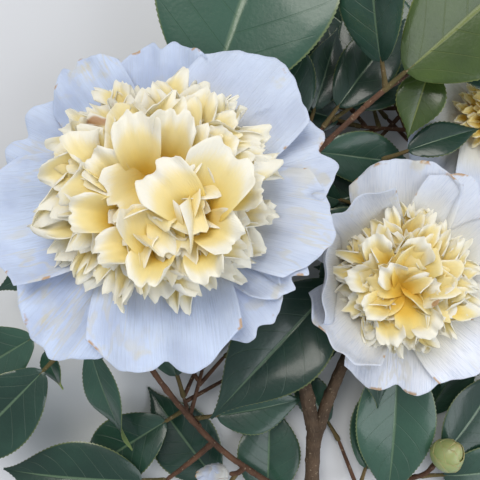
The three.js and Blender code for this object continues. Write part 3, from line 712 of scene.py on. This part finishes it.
def closed_rings(skin, body, ends, along, slots, tint):
    """Closed body: rings of points joined by faces, and each end ring by a cap to its end point. The shape
    map runs round the rings and along them."""
    rings, sides = body.shape[:2]
    index = np.arange(rings * sides).reshape(rings, sides)
    after = np.roll(index, -1, axis=1)
    quads = np.stack([index[:-1], after[:-1], after[1:], index[1:]], -1).reshape(-1, 4)
    foot, tip = np.full(sides, rings * sides), np.full(sides, rings * sides + 1)
    caps = [np.stack([foot, after[0], index[0]], -1), np.stack([tip, index[-1], after[-1]], -1)]
    uv = np.stack(np.broadcast_arrays(np.arange(sides) / sides, along[:, None]), -1).reshape(-1, 2)
    skin.add(
        np.vstack([body.reshape(-1, 3), ends]), [quads, *caps], np.vstack([uv, [[0.5, 0], [0.5, 1]]]),
        slots, tint,
    )


def tube(skin, course, radius, fineness, slots=(0, 0, 0), tint=0.0, relief=None, blunt=0.7):
    """Closed tube along a course: rings of points square to it, turned on without twist from one to the
    next. radius gives the rings' radii from the share of the length, relief the height added at a share, an
    angle and a place. The end rings are drawn in to the share blunt and closed by flat caps."""
    sides, spacing = fineness
    rings = max(4, int(np.ceil(course.length / spacing)) + 1)
    share = np.linspace(0, 1, rings)
    centre, way = course.at(share), course.way(share)
    across = np.zeros_like(centre)
    side = unit(np.cross(way[0], [0.02, 0.1, 1]))
    for i, ahead in enumerate(way):
        side = unit(side - ahead * np.dot(side, ahead))
        across[i] = side
    other = np.cross(way, across)
    angle = np.arange(sides) * 2 * np.pi / sides
    round_to = towards(across[:, None], other[:, None], angle)
    size = np.broadcast_to(radius(share)[:, None], (rings, sides)).copy()
    if relief is not None:
        size += relief(share[:, None], angle[None], centre[:, None] + round_to * size[..., None])
    size[0] *= blunt
    size[-1] *= blunt
    body = centre[:, None] + round_to * size[..., None]
    closed_rings(skin, body, np.vstack([centre[:1], centre[-1:]]), share, slots, tint)


def lathe(skin, place, axes, profile, sides, slot=0, tint=0.0):
    """Closed body turned about an axis: profile rows are (height, radius), and its ends close on the axis."""
    right, back, axis = axes
    height, radius = np.array(profile, float).T
    angle = np.arange(sides) * 2 * np.pi / sides
    ray = towards(right, back, angle)
    body = place + axis * height[:, None, None] + ray[None] * radius[:, None, None]
    ends = np.vstack([place + axis * height[0], place + axis * height[-1]])
    closed_rings(skin, body, ends, np.linspace(0, 1, len(height)), [slot] * 3, tint)


BLADE_COLUMNS = np.array([-1, -0.97, -0.78, -0.5, -0.22, -0.07, 0, 0.07, 0.22, 0.5, 0.78, 0.97, 1])


def blade(skin, leaf, chance, young):
    """Leaf blade: two rows of points to a tooth, so that the margin is toothed, with side veins sunk
    between swellings, a rib under the middle and a slightly wavy margin."""
    teeth = max(12, round(leaf["length"] / TOOTH_PITCH))
    marks = np.sort(np.concatenate([np.arange(teeth) / teeth, (np.arange(teeth) + 0.68) / teeth, [1]]))
    u, v = np.meshgrid(marks, BLADE_COLUMNS, indexing="ij")
    out = (np.arange(len(marks)) % 2 == 1) * step(marks, 0.1, 0.2) * (1 - step(marks, 0.94, 0.99))
    edge = TOOTH_HEIGHT * out[:, None] * (np.abs(v) > 0.99)
    size = leaf["length"] / 60
    vein = VEIN_PAIRS * (u - VEIN_SLANT * np.abs(v) ** 1.2) + 0.5 * (v > 0)
    swell = -np.cos(2 * np.pi * vein) * np.abs(v) ** 0.6 * (1 - v ** 4) * np.sin(np.pi * u)
    phase = chance.uniform(0, 6, 2)
    wave = np.abs(v) ** 3 * np.sin(7 * u + np.where(v > 0, phase[0], phase[1])) * np.sin(np.pi * u)
    lift = 0.16 * size * swell + leaf.get("wave", 0.7) * size * wave
    middle = leaf_surface(leaf, u, v, lift, edge)
    middle[..., 2] = np.maximum(middle[..., 2], LEAF_FLOOR + 0.5)
    half = leaf["width"] / 2 * leaf_half(u)
    rib = 0.55 * np.exp(-(v * half / 0.6) ** 2) * (1 - u) ** 0.5
    burn = leaf.get("burn", 0) * step(u, 0.9, 1)
    fade = leaf.get("fade", 0) * step(u + 0.1 * np.abs(v), 0.72, 1)
    # Unlisted leaves get a random tone; the listed tint of 1 on the front and top leaves is painted sheen.
    own = leaf.get("tint", chance.uniform(0, 0.8))
    tint = np.where(burn > 0.05, 2 + burn, np.where(fade > 0.05, -fade, own))
    shell(skin, middle, u, v, LEAF_THICKNESS, (2 if young else 0, 1), tint, rib)


def stalk(skin, leaf, chance):
    """Leaf stalk, from the twig to just inside the blade, thicker at its foot."""
    inside = leaf_surface(leaf, np.array(0.06), np.array(0.0))
    below = leaf["axes"][2] * 0.35
    line = Course([leaf["root"], (leaf["root"] + inside) / 2 - below, inside - below])
    tube(
        skin, line, lambda s: STALK_RADIUS - 0.25 * s + 0.4 * (1 - s) ** 6, STALK_TUBE, (1, 1, 1),
        chance.uniform(0, 1),
    )


# Materials


def pair(operation, swapped=False):
    """Python's operator for one Math operation, with its reflected form."""

    def apply(self, other):
        return self.paint.maths(operation, *((other, self) if swapped else (self, other)))

    return apply


class Value:
    """A number in a material. Arithmetic on it adds Math nodes."""

    def __init__(self, paint, socket):
        self.paint, self.socket = paint, socket

    __add__, __radd__ = pair("ADD"), pair("ADD", True)
    __sub__, __rsub__ = pair("SUBTRACT"), pair("SUBTRACT", True)
    __mul__, __rmul__ = pair("MULTIPLY"), pair("MULTIPLY", True)
    __truediv__, __pow__ = pair("DIVIDE"), pair("POWER")

    def __abs__(self):
        return self.paint.maths("ABSOLUTE", self)


class Paint:
    """A material while it is mixed."""

    def __init__(self, name, **fixed):
        self.material = bpy.data.materials.new(name)
        self.material.use_nodes = True
        self.tree = self.material.node_tree
        self.surface = self.tree.nodes["Principled BSDF"]
        for socket, value in fixed.items():
            self.surface.inputs[socket.replace("_", " ")].default_value = value

    def node(self, kind, settings=(), inputs=()):
        """Any node: its settings first, then the values or links of its sockets."""
        made = self.tree.nodes.new(kind)
        for key, value in dict(settings).items():
            setattr(made, key, value)
        for key, value in dict(inputs).items():
            self.feed(made.inputs[key], value)
        return made

    def feed(self, socket, value):
        if isinstance(value, Value):
            value = value.socket
        if isinstance(value, bpy.types.NodeSocket):
            self.tree.links.new(value, socket)
        else:
            socket.default_value = value

    def maths(self, operation, *terms):
        return Value(self, self.node("ShaderNodeMath", {"operation": operation}, enumerate(terms)).outputs[0])

    def step(self, value, low, high):
        """0 below low, 1 above high, smooth between."""
        inputs = {"Value": value, "From Min": low, "From Max": high}
        made = self.node("ShaderNodeMapRange", {"interpolation_type": "SMOOTHSTEP"}, inputs)
        return Value(self, made.outputs[0])

    def mix(self, share, first, second):
        """A colour between two."""
        inputs = {0: share, 6: first, 7: second}
        return self.node("ShaderNodeMix", {"data_type": "RGBA"}, inputs).outputs[2]

    def blades(self):
        """Where a point is on its petal or leaf: from edge to edge as -1 to 1, from base to tip as 0 to 1."""
        place = self.node("ShaderNodeUVMap", {"uv_map": "shape"}).outputs[0]
        parts = self.node("ShaderNodeSeparateXYZ", (), {0: place}).outputs
        return Value(self, parts[0]) * 2 - 1, Value(self, parts[1])

    def noise(self, scale, detail=3, stretch=None, drawn=False):
        """Noise over the object, or stretched over its shape map where drawn is set."""
        if drawn:
            place = self.node("ShaderNodeUVMap", {"uv_map": "shape"}).outputs[0]
        else:
            place = self.node("ShaderNodeTexCoord").outputs["Object"]
        if stretch:
            place = self.node("ShaderNodeMapping", (), {"Vector": place, "Scale": stretch}).outputs[0]
        made = self.node("ShaderNodeTexNoise", (), {"Vector": place, "Scale": scale, "Detail": detail})
        return Value(self, made.outputs[0])

    def tint(self):
        return Value(self, self.node("ShaderNodeAttribute", {"attribute_name": "tint"}).outputs["Fac"])

    def let_through(self, share, colour):
        """Mixes in a share of light that passes through a thin petal, all of one colour."""
        thin = self.node("ShaderNodeBsdfTranslucent", (), {"Color": colour})
        inputs = {0: share, 1: self.surface.outputs[0], 2: thin.outputs[0]}
        mixed = self.node("ShaderNodeMixShader", (), inputs)
        self.feed(self.tree.nodes["Material Output"].inputs["Surface"], mixed.outputs[0])

    def finish(self, colour, roughness=None, height=None, strength=0.4, distance=0.0004):
        self.feed(self.surface.inputs["Base Color"], colour)
        if roughness is not None:
            self.feed(self.surface.inputs["Roughness"], roughness)
        if height is not None:
            inputs = {"Height": height, "Strength": strength, "Distance": distance}
            self.feed(self.surface.inputs["Normal"], self.node("ShaderNodeBump", (), inputs).outputs[0])
        return self.material


def rgb(red, green, blue):
    return (red, green, blue, 1)


def petal_white():
    """Guard petals: blue-white, whiter where the tint is high, with fine veins, cream at the foot, and faint
    streaks, stains and scorched specks towards the rim. Painted light in it: darker and lighter blotches are
    painted shade and painted highlight, the blue stands in for sky light on a white petal, the rim is painted
    lighter, and the tint is partly the bloom's own whiteness and partly painted light on one side."""
    paint = Paint(
        "petal_white", Roughness=0.55, Subsurface_Weight=0.35, Subsurface_Radius=(1, 0.9, 0.8),
        Subsurface_Scale=0.003, Specular_IOR_Level=0.3,
    )
    across, along = paint.blades()
    veins = paint.noise(9, 3, (11, 0.55, 1), drawn=True)
    cloud = paint.noise(70, 3)
    # Blotches from darker to lighter blue-white: painted shade and painted highlight of soft crumples, and
    # the blue is painted sky light on a white petal.
    white = paint.mix(paint.step(cloud, 0.34, 0.66), rgb(0.34, 0.42, 0.63), rgb(0.49, 0.59, 0.81))
    # A higher tint paints the guard whiter and less blue, up to near white: partly the bloom's own whiteness,
    # partly painted light on one side of a bloom and on the shaded right bloom.
    white = paint.mix(paint.tint() * 0.9, white, rgb(0.64, 0.635, 0.635))
    white = paint.mix(paint.step(paint.tint(), 0.86, 1.2), white, rgb(0.87, 0.88, 0.96))
    white = paint.mix(paint.step(veins, 0.45, 0.72) * 0.5, white, rgb(0.34, 0.39, 0.51))
    flush = 1 - paint.step(along + cloud * 0.3 - paint.tint() * 0.14 - 0.12, 0.34, 0.72)
    rim = paint.maths("MAXIMUM", abs(across), along)
    # Lighter towards the rim and darker towards the foot: painted light that gives the petal its form.
    white = paint.mix(paint.step(rim, 0.6, 1) * 0.4, white, rgb(0.60, 0.68, 0.85))
    colour = paint.mix(flush * (0.36 + paint.tint() * 0.26), white, rgb(0.72, 0.66, 0.46))
    stain = paint.step(paint.noise(95, 4), 0.60, 0.70) * paint.step(rim, 0.66, 0.95)
    line = 1 - paint.step(abs(paint.noise(1, 3, (5, 1.3, 1), drawn=True) - 0.5), 0.004, 0.03)
    streak = line * paint.step(paint.noise(34, 2), 0.50, 0.62)
    colour = paint.mix(stain * 0.4 + streak * 0.3, colour, rgb(0.58, 0.50, 0.26))
    speck = paint.step(paint.noise(160, 3), 0.60, 0.66) * paint.step(rim, 0.955, 0.985)
    colour = paint.mix(speck * 0.85, colour, rgb(0.42, 0.22, 0.06))
    return paint.finish(colour, 0.46 + 0.2 * cloud, veins + paint.noise(900, 2) * 0.25, 0.28, 0.0007)


def heart_cream():
    """Petaloids: golden at the root, butter yellow, then cream and near white at the rim, with rust marks."""
    paint = Paint("heart_cream", Roughness=0.55, Specular_IOR_Level=0.25)
    across, along = paint.blades()
    veins = paint.noise(7, 2, (7, 0.9, 1), drawn=True)
    reach = along + (paint.tint() - 0.5) * 0.30 + (veins - 0.5) * 0.14 + across * across * 0.16
    colour = paint.mix(paint.step(reach, 0.36, 0.66), rgb(0.93, 0.65, 0.11), rgb(0.97, 0.80, 0.29))
    colour = paint.mix(paint.step(reach, 0.58, 0.88), colour, rgb(0.97, 0.88, 0.50))
    tips = paint.step(reach, 0.86, 1.12)
    colour = paint.mix(tips, colour, rgb(0.92, 0.92, 0.86))
    mark = paint.step(paint.noise(55, 2), 0.70, 0.725) * paint.step(along, 0.55, 0.8)
    colour = paint.mix(mark * 0.8, colour, rgb(0.44, 0.19, 0.06))
    paint.let_through(0.44 - tips * 0.16, rgb(0.97, 0.84, 0.37))
    return paint.finish(colour, 0.5, veins, 0.3, 0.0006)


def core_gold():
    """The bottom of the heart, seen only between petaloids."""
    paint = Paint("core_gold", Roughness=0.7)
    colour = paint.mix(paint.noise(220, 2), rgb(0.88, 0.66, 0.20), rgb(0.93, 0.76, 0.34))
    return paint.finish(colour)


def leaf_green(name, deep, bright, vein_colour):
    """Upper side of a leaf: glossy, with paler midrib and side veins, a yellowish margin, and a fine leathery
    net. A tint over 2 is a scorched tip, and one under 0 a yellowed tip. Otherwise the tint and a cloud set
    the green between deep and bright: random tone, and painted sheen on the front and top leaves, whose tint
    is 1."""
    paint = Paint(name, Coat_Roughness=0.17, Coat_Weight=0.5, Specular_IOR_Level=0.28)
    across, along = paint.blades()
    side = abs(across)
    slant = paint.maths("POWER", side, 1.2) * VEIN_SLANT
    other = paint.maths("GREATER_THAN", across, 0) * 0.5
    phase = paint.maths("FRACT", (along - slant) * VEIN_PAIRS + other)
    vein = paint.step(abs(phase - 0.5), 0.455, 0.5) * (1 - paint.step(side, 0.8, 0.96))
    rib = 1 - paint.step(side, 0.02, 0.055)
    cloud = paint.noise(60, 4)
    tint = paint.tint()
    # Green from deep to bright: random tone, and painted sheen on leaves of tint 1.
    shade = paint.step(cloud * 0.6 + paint.maths("MINIMUM", tint, 1) * 0.4, 0.25, 0.8)
    colour = paint.mix(shade, deep, bright)
    colour = paint.mix(vein * 0.16, colour, vein_colour)
    colour = paint.mix(rib * 0.7, colour, vein_colour)
    colour = paint.mix(paint.step(side, 0.97, 0.99) * 0.32, colour, rgb(0.28, 0.30, 0.08))
    colour = paint.mix(paint.step(tint, 2.02, 2.35), colour, rgb(0.20, 0.09, 0.03))
    colour = paint.mix(paint.step(tint * -1, 0.05, 0.7), colour, rgb(0.24, 0.30, 0.04))
    net = paint.noise(850, 2)
    height = net * 0.5 - vein * 0.8 - rib * 0.9 + cloud * 0.3
    return paint.finish(colour, 0.30 + net * 0.18, height, 0.45, 0.0005)


def leaf_underside():
    """Paler, matt underside with raised veins."""
    paint = Paint("leaf_underside", Specular_IOR_Level=0.35)
    across, along = paint.blades()
    rib = 1 - paint.step(abs(across), 0.02, 0.07)
    cloud = paint.noise(90, 3)
    colour = paint.mix(cloud, rgb(0.13, 0.19, 0.06), rgb(0.20, 0.27, 0.10))
    colour = paint.mix(rib * 0.7, colour, rgb(0.36, 0.38, 0.16))
    return paint.finish(colour, 0.6, cloud + rib * 0.6, 0.3)


def bark(name, first, second, streak):
    """Bark with long streaks, small pale pores and a rough grain."""
    paint = Paint(name, Specular_IOR_Level=0.3)
    cloud = paint.noise(160, 4)
    lines = paint.noise(6, 4, (14, 5, 1), drawn=True)
    pores = paint.step(paint.noise(900, 1), 0.66, 0.72)
    colour = paint.mix(paint.step(cloud, 0.3, 0.7), first, second)
    colour = paint.mix(paint.step(lines, 0.52, 0.70) * 0.55, colour, streak)
    colour = paint.mix(pores * 0.45, colour, rgb(0.42, 0.33, 0.22))
    return paint.finish(colour, 0.62 + cloud * 0.25, lines + cloud * 0.7 + pores * 0.3, 0.6, 0.0006)


def cut_wood():
    """The sawn end: pale wood with a darker pith and rings about the stem's middle."""
    paint = Paint("cut_wood", Roughness=0.75)
    place = paint.node("ShaderNodeTexCoord").outputs["Object"]
    middle = in_metres(LIMBS["main_stem"][0][0])
    centred = paint.node("ShaderNodeMapping", (), {"Vector": place, "Location": tuple(-middle)}).outputs[0]
    out = Value(paint, paint.node("ShaderNodeVectorMath", {"operation": "LENGTH"}, {0: centred}).outputs[1])
    rings = paint.maths("SINE", out * 9000 + paint.noise(500, 2) * 3)
    colour = paint.mix(paint.step(rings, -0.6, 1), rgb(0.70, 0.55, 0.33), rgb(0.55, 0.40, 0.21))
    colour = paint.mix(1 - paint.step(out, 0.0004, 0.0008), colour, rgb(0.34, 0.21, 0.10))
    colour = paint.mix(paint.step(out, 0.0026, 0.0030), colour, rgb(0.30, 0.28, 0.12))
    return paint.finish(colour, None, rings, 0.2)


def scale_green(name, foot, tip, rim):
    """Bud scales and sepals: green at the foot, paler towards the tip, with a thin brownish rim."""
    paint = Paint(name, Roughness=0.42, Subsurface_Weight=0.15, Subsurface_Scale=0.002, Coat_Weight=0.15)
    across, along = paint.blades()
    cloud = paint.noise(300, 3)
    colour = paint.mix(paint.step(along + cloud * 0.3, 0.2, 1.0), foot, tip)
    edge = paint.step(paint.maths("MAXIMUM", abs(across), along), 0.93, 0.985)
    colour = paint.mix(edge * 0.7, colour, rim)
    return paint.finish(colour, None, cloud + paint.noise(2400, 1) * 0.3, 0.3)


# The rule that grows the branch, as in the solids, then the finer twigs that only show here
room = Room()
for bloom in BLOOMS.values():
    bloom["axes"] = bloom_axes(bloom)
    bloom["place"] = np.array(bloom["centre"], float)
    end = bloom["place"] - bloom["axes"][2] * (bloom["stalk"] + GAP)
    LIMBS[bloom["limb"]][0].append(end.tolist())

limb_courses = {name: Course(points) for name, (points, _, _) in LIMBS.items()}
for name, (_, foot, _) in LIMBS.items():
    room.take(limb_courses[name].spaced(6), CLEAR_OF_LIMB + foot)

GUARD_U, GUARD_V = np.meshgrid([0.15, 0.4, 0.7, 1], [-0.7, 0, 0.7], indexing="ij")
for bloom in BLOOMS.values():
    for order, spec in enumerate(bloom["guards"]):
        room.take(petal_surface(bloom, plain_guard(order, spec), GUARD_U, GUARD_V), CLEAR_OF_BLOOM)

stems = {name: Course(mass["course"]) for name, mass in FOLIAGE.items()}
buds = {}
for name, (mass, radius, height) in BUDS.items():
    way = stems[mass].way(1)
    foot = stems[mass].at(1) + way * GAP
    buds[name] = (foot, way, radius, height)
    room.take(foot + way * height / 2, radius + CLEAR_OF_LIMB)

leaves, twigs = {}, {}
for name, mass in FOLIAGE.items():
    leaves[name] = [make_leaf(stems[name], *spec) for spec in mass["leaves"]]
    for order, looks in LEAF_LOOKS.get(name, {}).items():
        leaves[name][order].update(looks)
    for leaf in leaves[name]:
        room.take(leaf_samples(leaf), CLEAR_OF_LEAF, leaf=True)
    room.take(stems[name].spaced(6)[1:], CLEAR_OF_LIMB + TWIG_FOOT)

shown = {name: len(found) for name, found in leaves.items()}
for name, mass in FOLIAGE.items():
    grown = side_twigs(room, stems[name], *mass["twigs"])
    twigs[name] = [twig for twig, _ in grown]
    leaves[name] += [leaf for _, found in grown for leaf in found]
room.roof = np.vstack([leaf_samples(leaf) for name in FOLIAGE for leaf in leaves[name][:shown[name]]])

for name, mass in FOLIAGE.items():
    tries, seed, middle, spread, length = mass["twigs"]
    for n, course in enumerate([stems[name], *twigs[name]]):
        plan = (2 * mass["fine"], seed * 7 + n + 1, middle, spread + 30, length * 0.8)
        grown = side_twigs(room, course, *plan, finer=True)
        twigs[name] += [twig for twig, _ in grown]
        leaves[name] += [leaf for _, found in grown for leaf in found]

# The finishes
white, cream, gold = petal_white(), heart_cream(), core_gold()
# The mature greens lean to blue-green: part of that is painted sky sheen, laid into the leaf's own green.
mature = leaf_green("leaf_mature", rgb(0.009, 0.033, 0.021), rgb(0.034, 0.090, 0.058), rgb(0.11, 0.18, 0.10))
fresh = leaf_green("leaf_fresh", rgb(0.029, 0.054, 0.010), rgb(0.068, 0.114, 0.015), rgb(0.19, 0.22, 0.06))
underside = leaf_underside()
old_bark = bark("bark_old", rgb(0.052, 0.032, 0.018), rgb(0.11, 0.07, 0.042), rgb(0.17, 0.125, 0.08))
young_bark = bark("bark_young", rgb(0.066, 0.030, 0.017), rgb(0.13, 0.064, 0.036), rgb(0.17, 0.105, 0.06))
twig_bark = bark("bark_twig", rgb(0.085, 0.072, 0.022), rgb(0.14, 0.095, 0.038), rgb(0.17, 0.155, 0.058))
end_wood = cut_wood()
sepal = scale_green("sepal", rgb(0.14, 0.20, 0.06), rgb(0.34, 0.38, 0.16), rgb(0.28, 0.20, 0.09))
bud_skin = scale_green("bud_scale", rgb(0.16, 0.22, 0.055), rgb(0.30, 0.33, 0.125), rgb(0.34, 0.28, 0.12))

# The wood


def limb_relief(radius, seed, swelling=0.35):
    """Height of the bark: long ridges from noise stretched along the limb, fine grain, a swelling at each
    old leaf scar, one a turn further round than the last, and a collar at the foot."""

    def relief(share, angle, place):
        long = grain(place * [0.9, 0.22, 0.9] + seed)
        fine = grain(place * 2.1 + seed)
        scars = 0
        for n, at in enumerate(np.linspace(0.12, 0.93, 6)):
            facing = np.cos(angle - np.radians(GOLDEN_ANGLE) * n)
            scars = scars + np.exp(-((share - at) / 0.014) ** 2) * (0.35 + 0.65 * step(facing, 0.2, 1))
        collar = swelling * np.exp(-share / 0.035)
        return radius * (0.10 * long + 0.045 * fine + 0.17 * scars + collar)

    return relief


def tapered(foot, tip):
    """Radius that goes evenly from foot to tip."""
    return lambda share: foot + (tip - foot) * share


# A limb has the bark of its age, and the main stem a sawn end at its foot, smoother bark and no collar
wood = Skin()
for order, (name, (_, foot, tip)) in enumerate(LIMBS.items()):
    young = int(name in YOUNG_WOOD)
    main = name == "main_stem"
    share = SLENDER if young else 1
    relief = limb_relief((foot + tip) / 2 * (0.6 if main else 1), order * 7, 0 if main else 0.25)
    tube(
        wood, limb_courses[name], tapered(share * foot, share * tip), LIMB_TUBE,
        (young, 2 if main else young, young), 0.0, relief, 0.97 if main else 0.75,
    )
wood.put_down("wood", [old_bark, young_bark, end_wood], "bark", list(LIMBS))

# The foliage. A stem that grows on from a limb's tip starts as thick as the limb ends
chance = np.random.default_rng(41)
for name in FOLIAGE:
    blades, stalks = Skin(), Skin()
    start = FOLIAGE[name]["course"][0]
    joins = [tip for points, _, tip in LIMBS.values() if np.linalg.norm(np.subtract(points[-1], start)) < 3]
    foot = SLENDER * min(joins + [TWIG_FOOT])
    tip = SLENDER * TWIG_TIP
    tube(stalks, stems[name], tapered(foot, tip), STEM_TUBE, (0, 0, 0), 0.3, limb_relief(1.2, len(name)))
    for twig in twigs[name]:
        tube(stalks, twig, tapered(1.1 * tip, 0.85 * tip), TWIG_TUBE, (0, 0, 0), 0.6)
    for order, leaf in enumerate(leaves[name]):
        if order >= shown[name]:
            leaf["twist"] = chance.uniform(-16, 16)
        blade(blades, leaf, chance, leaf.get("young", False))
        stalk(stalks, leaf, chance)
    tag = name.removeprefix("foliage_")
    blades.put_down("leaves_" + tag, [mature, underside, fresh], "leaf", [name])
    stalks.put_down("twigs_" + tag, [young_bark, twig_bark], "leaf", [name])

# The blooms


def petal_grid(rows, columns):
    """Parameters of a petal: evenly along and across, with one more row close to each free edge."""
    u = np.concatenate([[0], np.linspace(0.02, 0.985, rows), [1]])
    v = np.concatenate([[-1], np.linspace(-0.975, 0.975, columns), [1]])
    return np.meshgrid(u, v, indexing="ij")


def bloom_pieces(name, bloom):
    """Guard petals, heart and calyx of one bloom."""
    chance = np.random.default_rng(bloom["seed"])
    tag = name.removeprefix("bloom_")
    scale = bloom["radius"] / STANDARD_RADIUS
    guards = Skin()
    u, v = petal_grid(*GUARD_GRID)
    for order, spec in enumerate(bloom["guards"]):
        petal = guard_petal(order, spec, bloom, chance)
        # The guard's tint: the bloom's own whiteness plus painted light, highest round the named azimuth.
        whiteness_and_light = bloom["whiteness_and_light"] + 0.4 * max(np.cos(np.radians(spec[0] - bloom["painted_light_to"])), 0)
        shell(guards, petal_surface(bloom, petal, u, v), u, v, PETAL_THICKNESS, (0, 0), whiteness_and_light)
    guards.put_down("guard_petals_" + tag, [white], "petal", [name])
    heart = Skin()
    places = range(len(bloom["fans"]), bloom["petaloids"] + bloom["skirt"])
    petals = [heart_petal(k, bloom, chance) for k in places]
    petals = [petal for petal in petals if beside_fans(petal, bloom)]
    petals += [fan_petal(spec, bloom, chance) for spec in bloom["fans"]]
    for petal in petals:
        tint = chance.uniform(0.2, 0.8) + petal["pale"] - bloom["gold"]
        u, v = petal_grid(*petal["grid"])
        surface = held_in(petal_surface(bloom, petal, u, v), bloom)
        surface[..., 2] -= max(surface[..., 2].max() + 0.4 - bloom["place"][2] - bloom["height"], 0)
        shell(heart, surface, u, v, PETALOID_THICKNESS, (0, 0), tint)
    core, height = 0.75 * bloom["core"], bloom["height"]
    profile = [(-7, 2), (-5, core * 0.5), (-1, core * 0.9), (height * 0.18, core * 0.85),
               (height * 0.28, core * 0.55), (height * 0.32, core * 0.1)]
    lathe(heart, bloom["place"], bloom["axes"], profile, 40, 1, 0.2)
    heart.put_down("heart_" + tag, [cream, gold], "petal", [name])
    calyx = Skin()
    foot = -bloom["stalk"]
    profile = [(foot, 2.0), (foot + 1, 3.2), (foot + 3, 4.6), (foot + 8, 6), (-5, 6.5), (-4.5, 1)]
    lathe(calyx, bloom["place"], bloom["axes"], [(h, r * scale) for h, r in profile], 32, 0)
    u, v = petal_grid(*SEPAL_GRID)
    for k in range(8):
        turn = np.radians(k * GOLDEN_ANGLE)
        up = (k // 3) * 2.2
        leaflet = {
            **PLAIN_PETAL, "azimuth": k * GOLDEN_ANGLE, "x": 2.6 * scale * np.cos(turn),
            "y": 2.6 * scale * np.sin(turn), "height": foot + 0.6 + up, "rise": 58, "bend": 22,
            "length": 12.5 * scale, "width": 13 * scale, "claw": 0.6, "round": 0.3, "cup": 0.42, "phase": k,
            "fray": [(0.01, 9)], "wave": 0.2, "waves": 4,
        }
        shell(calyx, petal_surface(bloom, leaflet, u, v), u, v, SEPAL_THICKNESS, (0, 0))
    calyx.put_down("calyx_" + tag, [sepal], "bud", [name])


for name, bloom in BLOOMS.items():
    bloom_pieces(name, bloom)

# The buds


def egg_radius(radius, h):
    """Radius of a bud at a share of its height: a sine drawn to a blunt foot and a pointed tip."""
    return radius * np.sin(np.pi * h ** 0.72) ** 0.62


def bud_scale(foot, axes, radius, height, turn, low, high, spread, lift):
    """One scale wrapped round an egg: azimuth runs with v over its spread, height with u from low to high,
    and the free end stands off by lift. The end is rounded as the square of v."""
    right, back, axis = axes
    u, v = petal_grid(*SCALE_GRID)
    h = low + (high - low) * u * (1 - 0.3 * v * v * u)
    wide = spread * np.sin(np.pi / 2 * np.minimum(u * 1.6 + 0.35, 1))
    angle = turn + v * wide
    egg = egg_radius(radius, np.clip(h, 0.0, 1.0))
    out = egg * (1.01 + 0.05 * lift) + lift * (0.25 + u * u)
    ray = towards(right, back, angle)
    return foot + axis * (h * height)[..., None] + ray * out[..., None], u, v


for name, (foot, way, radius, height) in buds.items():
    right = unit(np.cross(way, [0.1, 1, 0.2]))
    axes = (right, np.cross(way, right), way)
    skin = Skin()
    h = np.linspace(0.004, 0.996, 30)
    lathe(skin, foot, axes, np.stack([h * height, egg_radius(0.97 * radius, h)], -1), 40, 0, 0.5)
    for k in range(11):
        turn = np.radians(GOLDEN_ANGLE) * k
        low, high = 0.012 + 0.03 * k, min(0.42 + 0.058 * k, 0.97)
        middle, u, v = bud_scale(foot, axes, radius, height, turn, low, high, 0.98, 0.32)
        shell(skin, middle[:, ::-1], u, v[:, ::-1], SCALE_THICKNESS, (0, 0), 0.5)
    finish = white if name == "bud_white" else bud_skin
    skin.put_down(name.replace("bud", "flower_bud"), [finish], "bud", [name])

# The floor, the light and the camera, in metres
FLOOR_HALF = 2
floor_mesh = bpy.data.meshes.new("floor")
corners = [(-FLOOR_HALF, -FLOOR_HALF, 0), (FLOOR_HALF, -FLOOR_HALF, 0), (FLOOR_HALF, FLOOR_HALF, 0),
           (-FLOOR_HALF, FLOOR_HALF, 0)]
floor_mesh.from_pydata(corners, [], [(0, 1, 2, 3)])
floor = bpy.data.objects.new("floor", floor_mesh)
bpy.context.scene.collection.objects.link(floor)
plain = Paint("floor_plain", Roughness=0.8, Base_Color=rgb(0.62, 0.63, 0.65))
floor_mesh.materials.append(plain.material)

world = bpy.data.worlds.new("studio")
world.use_nodes = True
world.node_tree.nodes["Background"].inputs[0].default_value = (0.84, 0.90, 1.0, 1)
world.node_tree.nodes["Background"].inputs[1].default_value = 0.5
bpy.context.scene.world = world


def softbox(name, place, target, size, power, colour):
    """A square area light that faces a point."""
    light = bpy.data.lights.new(name, "AREA")
    light.shape, light.size, light.energy, light.color = "SQUARE", size, power, colour
    lamp = bpy.data.objects.new(name, light)
    lamp.location = place
    away = np.array(place, float) - np.array(target, float)
    yaw = np.arctan2(away[0], -away[1])
    tilt = np.arctan2(np.hypot(away[0], away[1]), away[2])
    lamp.rotation_euler = (tilt, 0, yaw)
    bpy.context.scene.collection.objects.link(lamp)


softbox("key", (-0.22, 0.50, 0.95), (0, 0, 0.03), 0.6, 7.6, (1.0, 0.96, 0.90))
softbox("fill", (0.60, -0.30, 0.70), (0, 0, 0.03), 0.7, 4.4, (0.92, 0.95, 1.0))

camera = bpy.data.cameras.new("camera")
camera.lens, camera.sensor_width = CAMERA_LENS, CAMERA_SENSOR
camera.clip_start, camera.clip_end = 0.01, 10
viewer = bpy.data.objects.new("camera", camera)
viewer.location = tuple(in_metres([0, 0, CAMERA_HEIGHT]))
bpy.context.scene.collection.objects.link(viewer)
bpy.context.scene.camera = viewer
bpy.context.scene.view_settings.view_transform = "Standard"
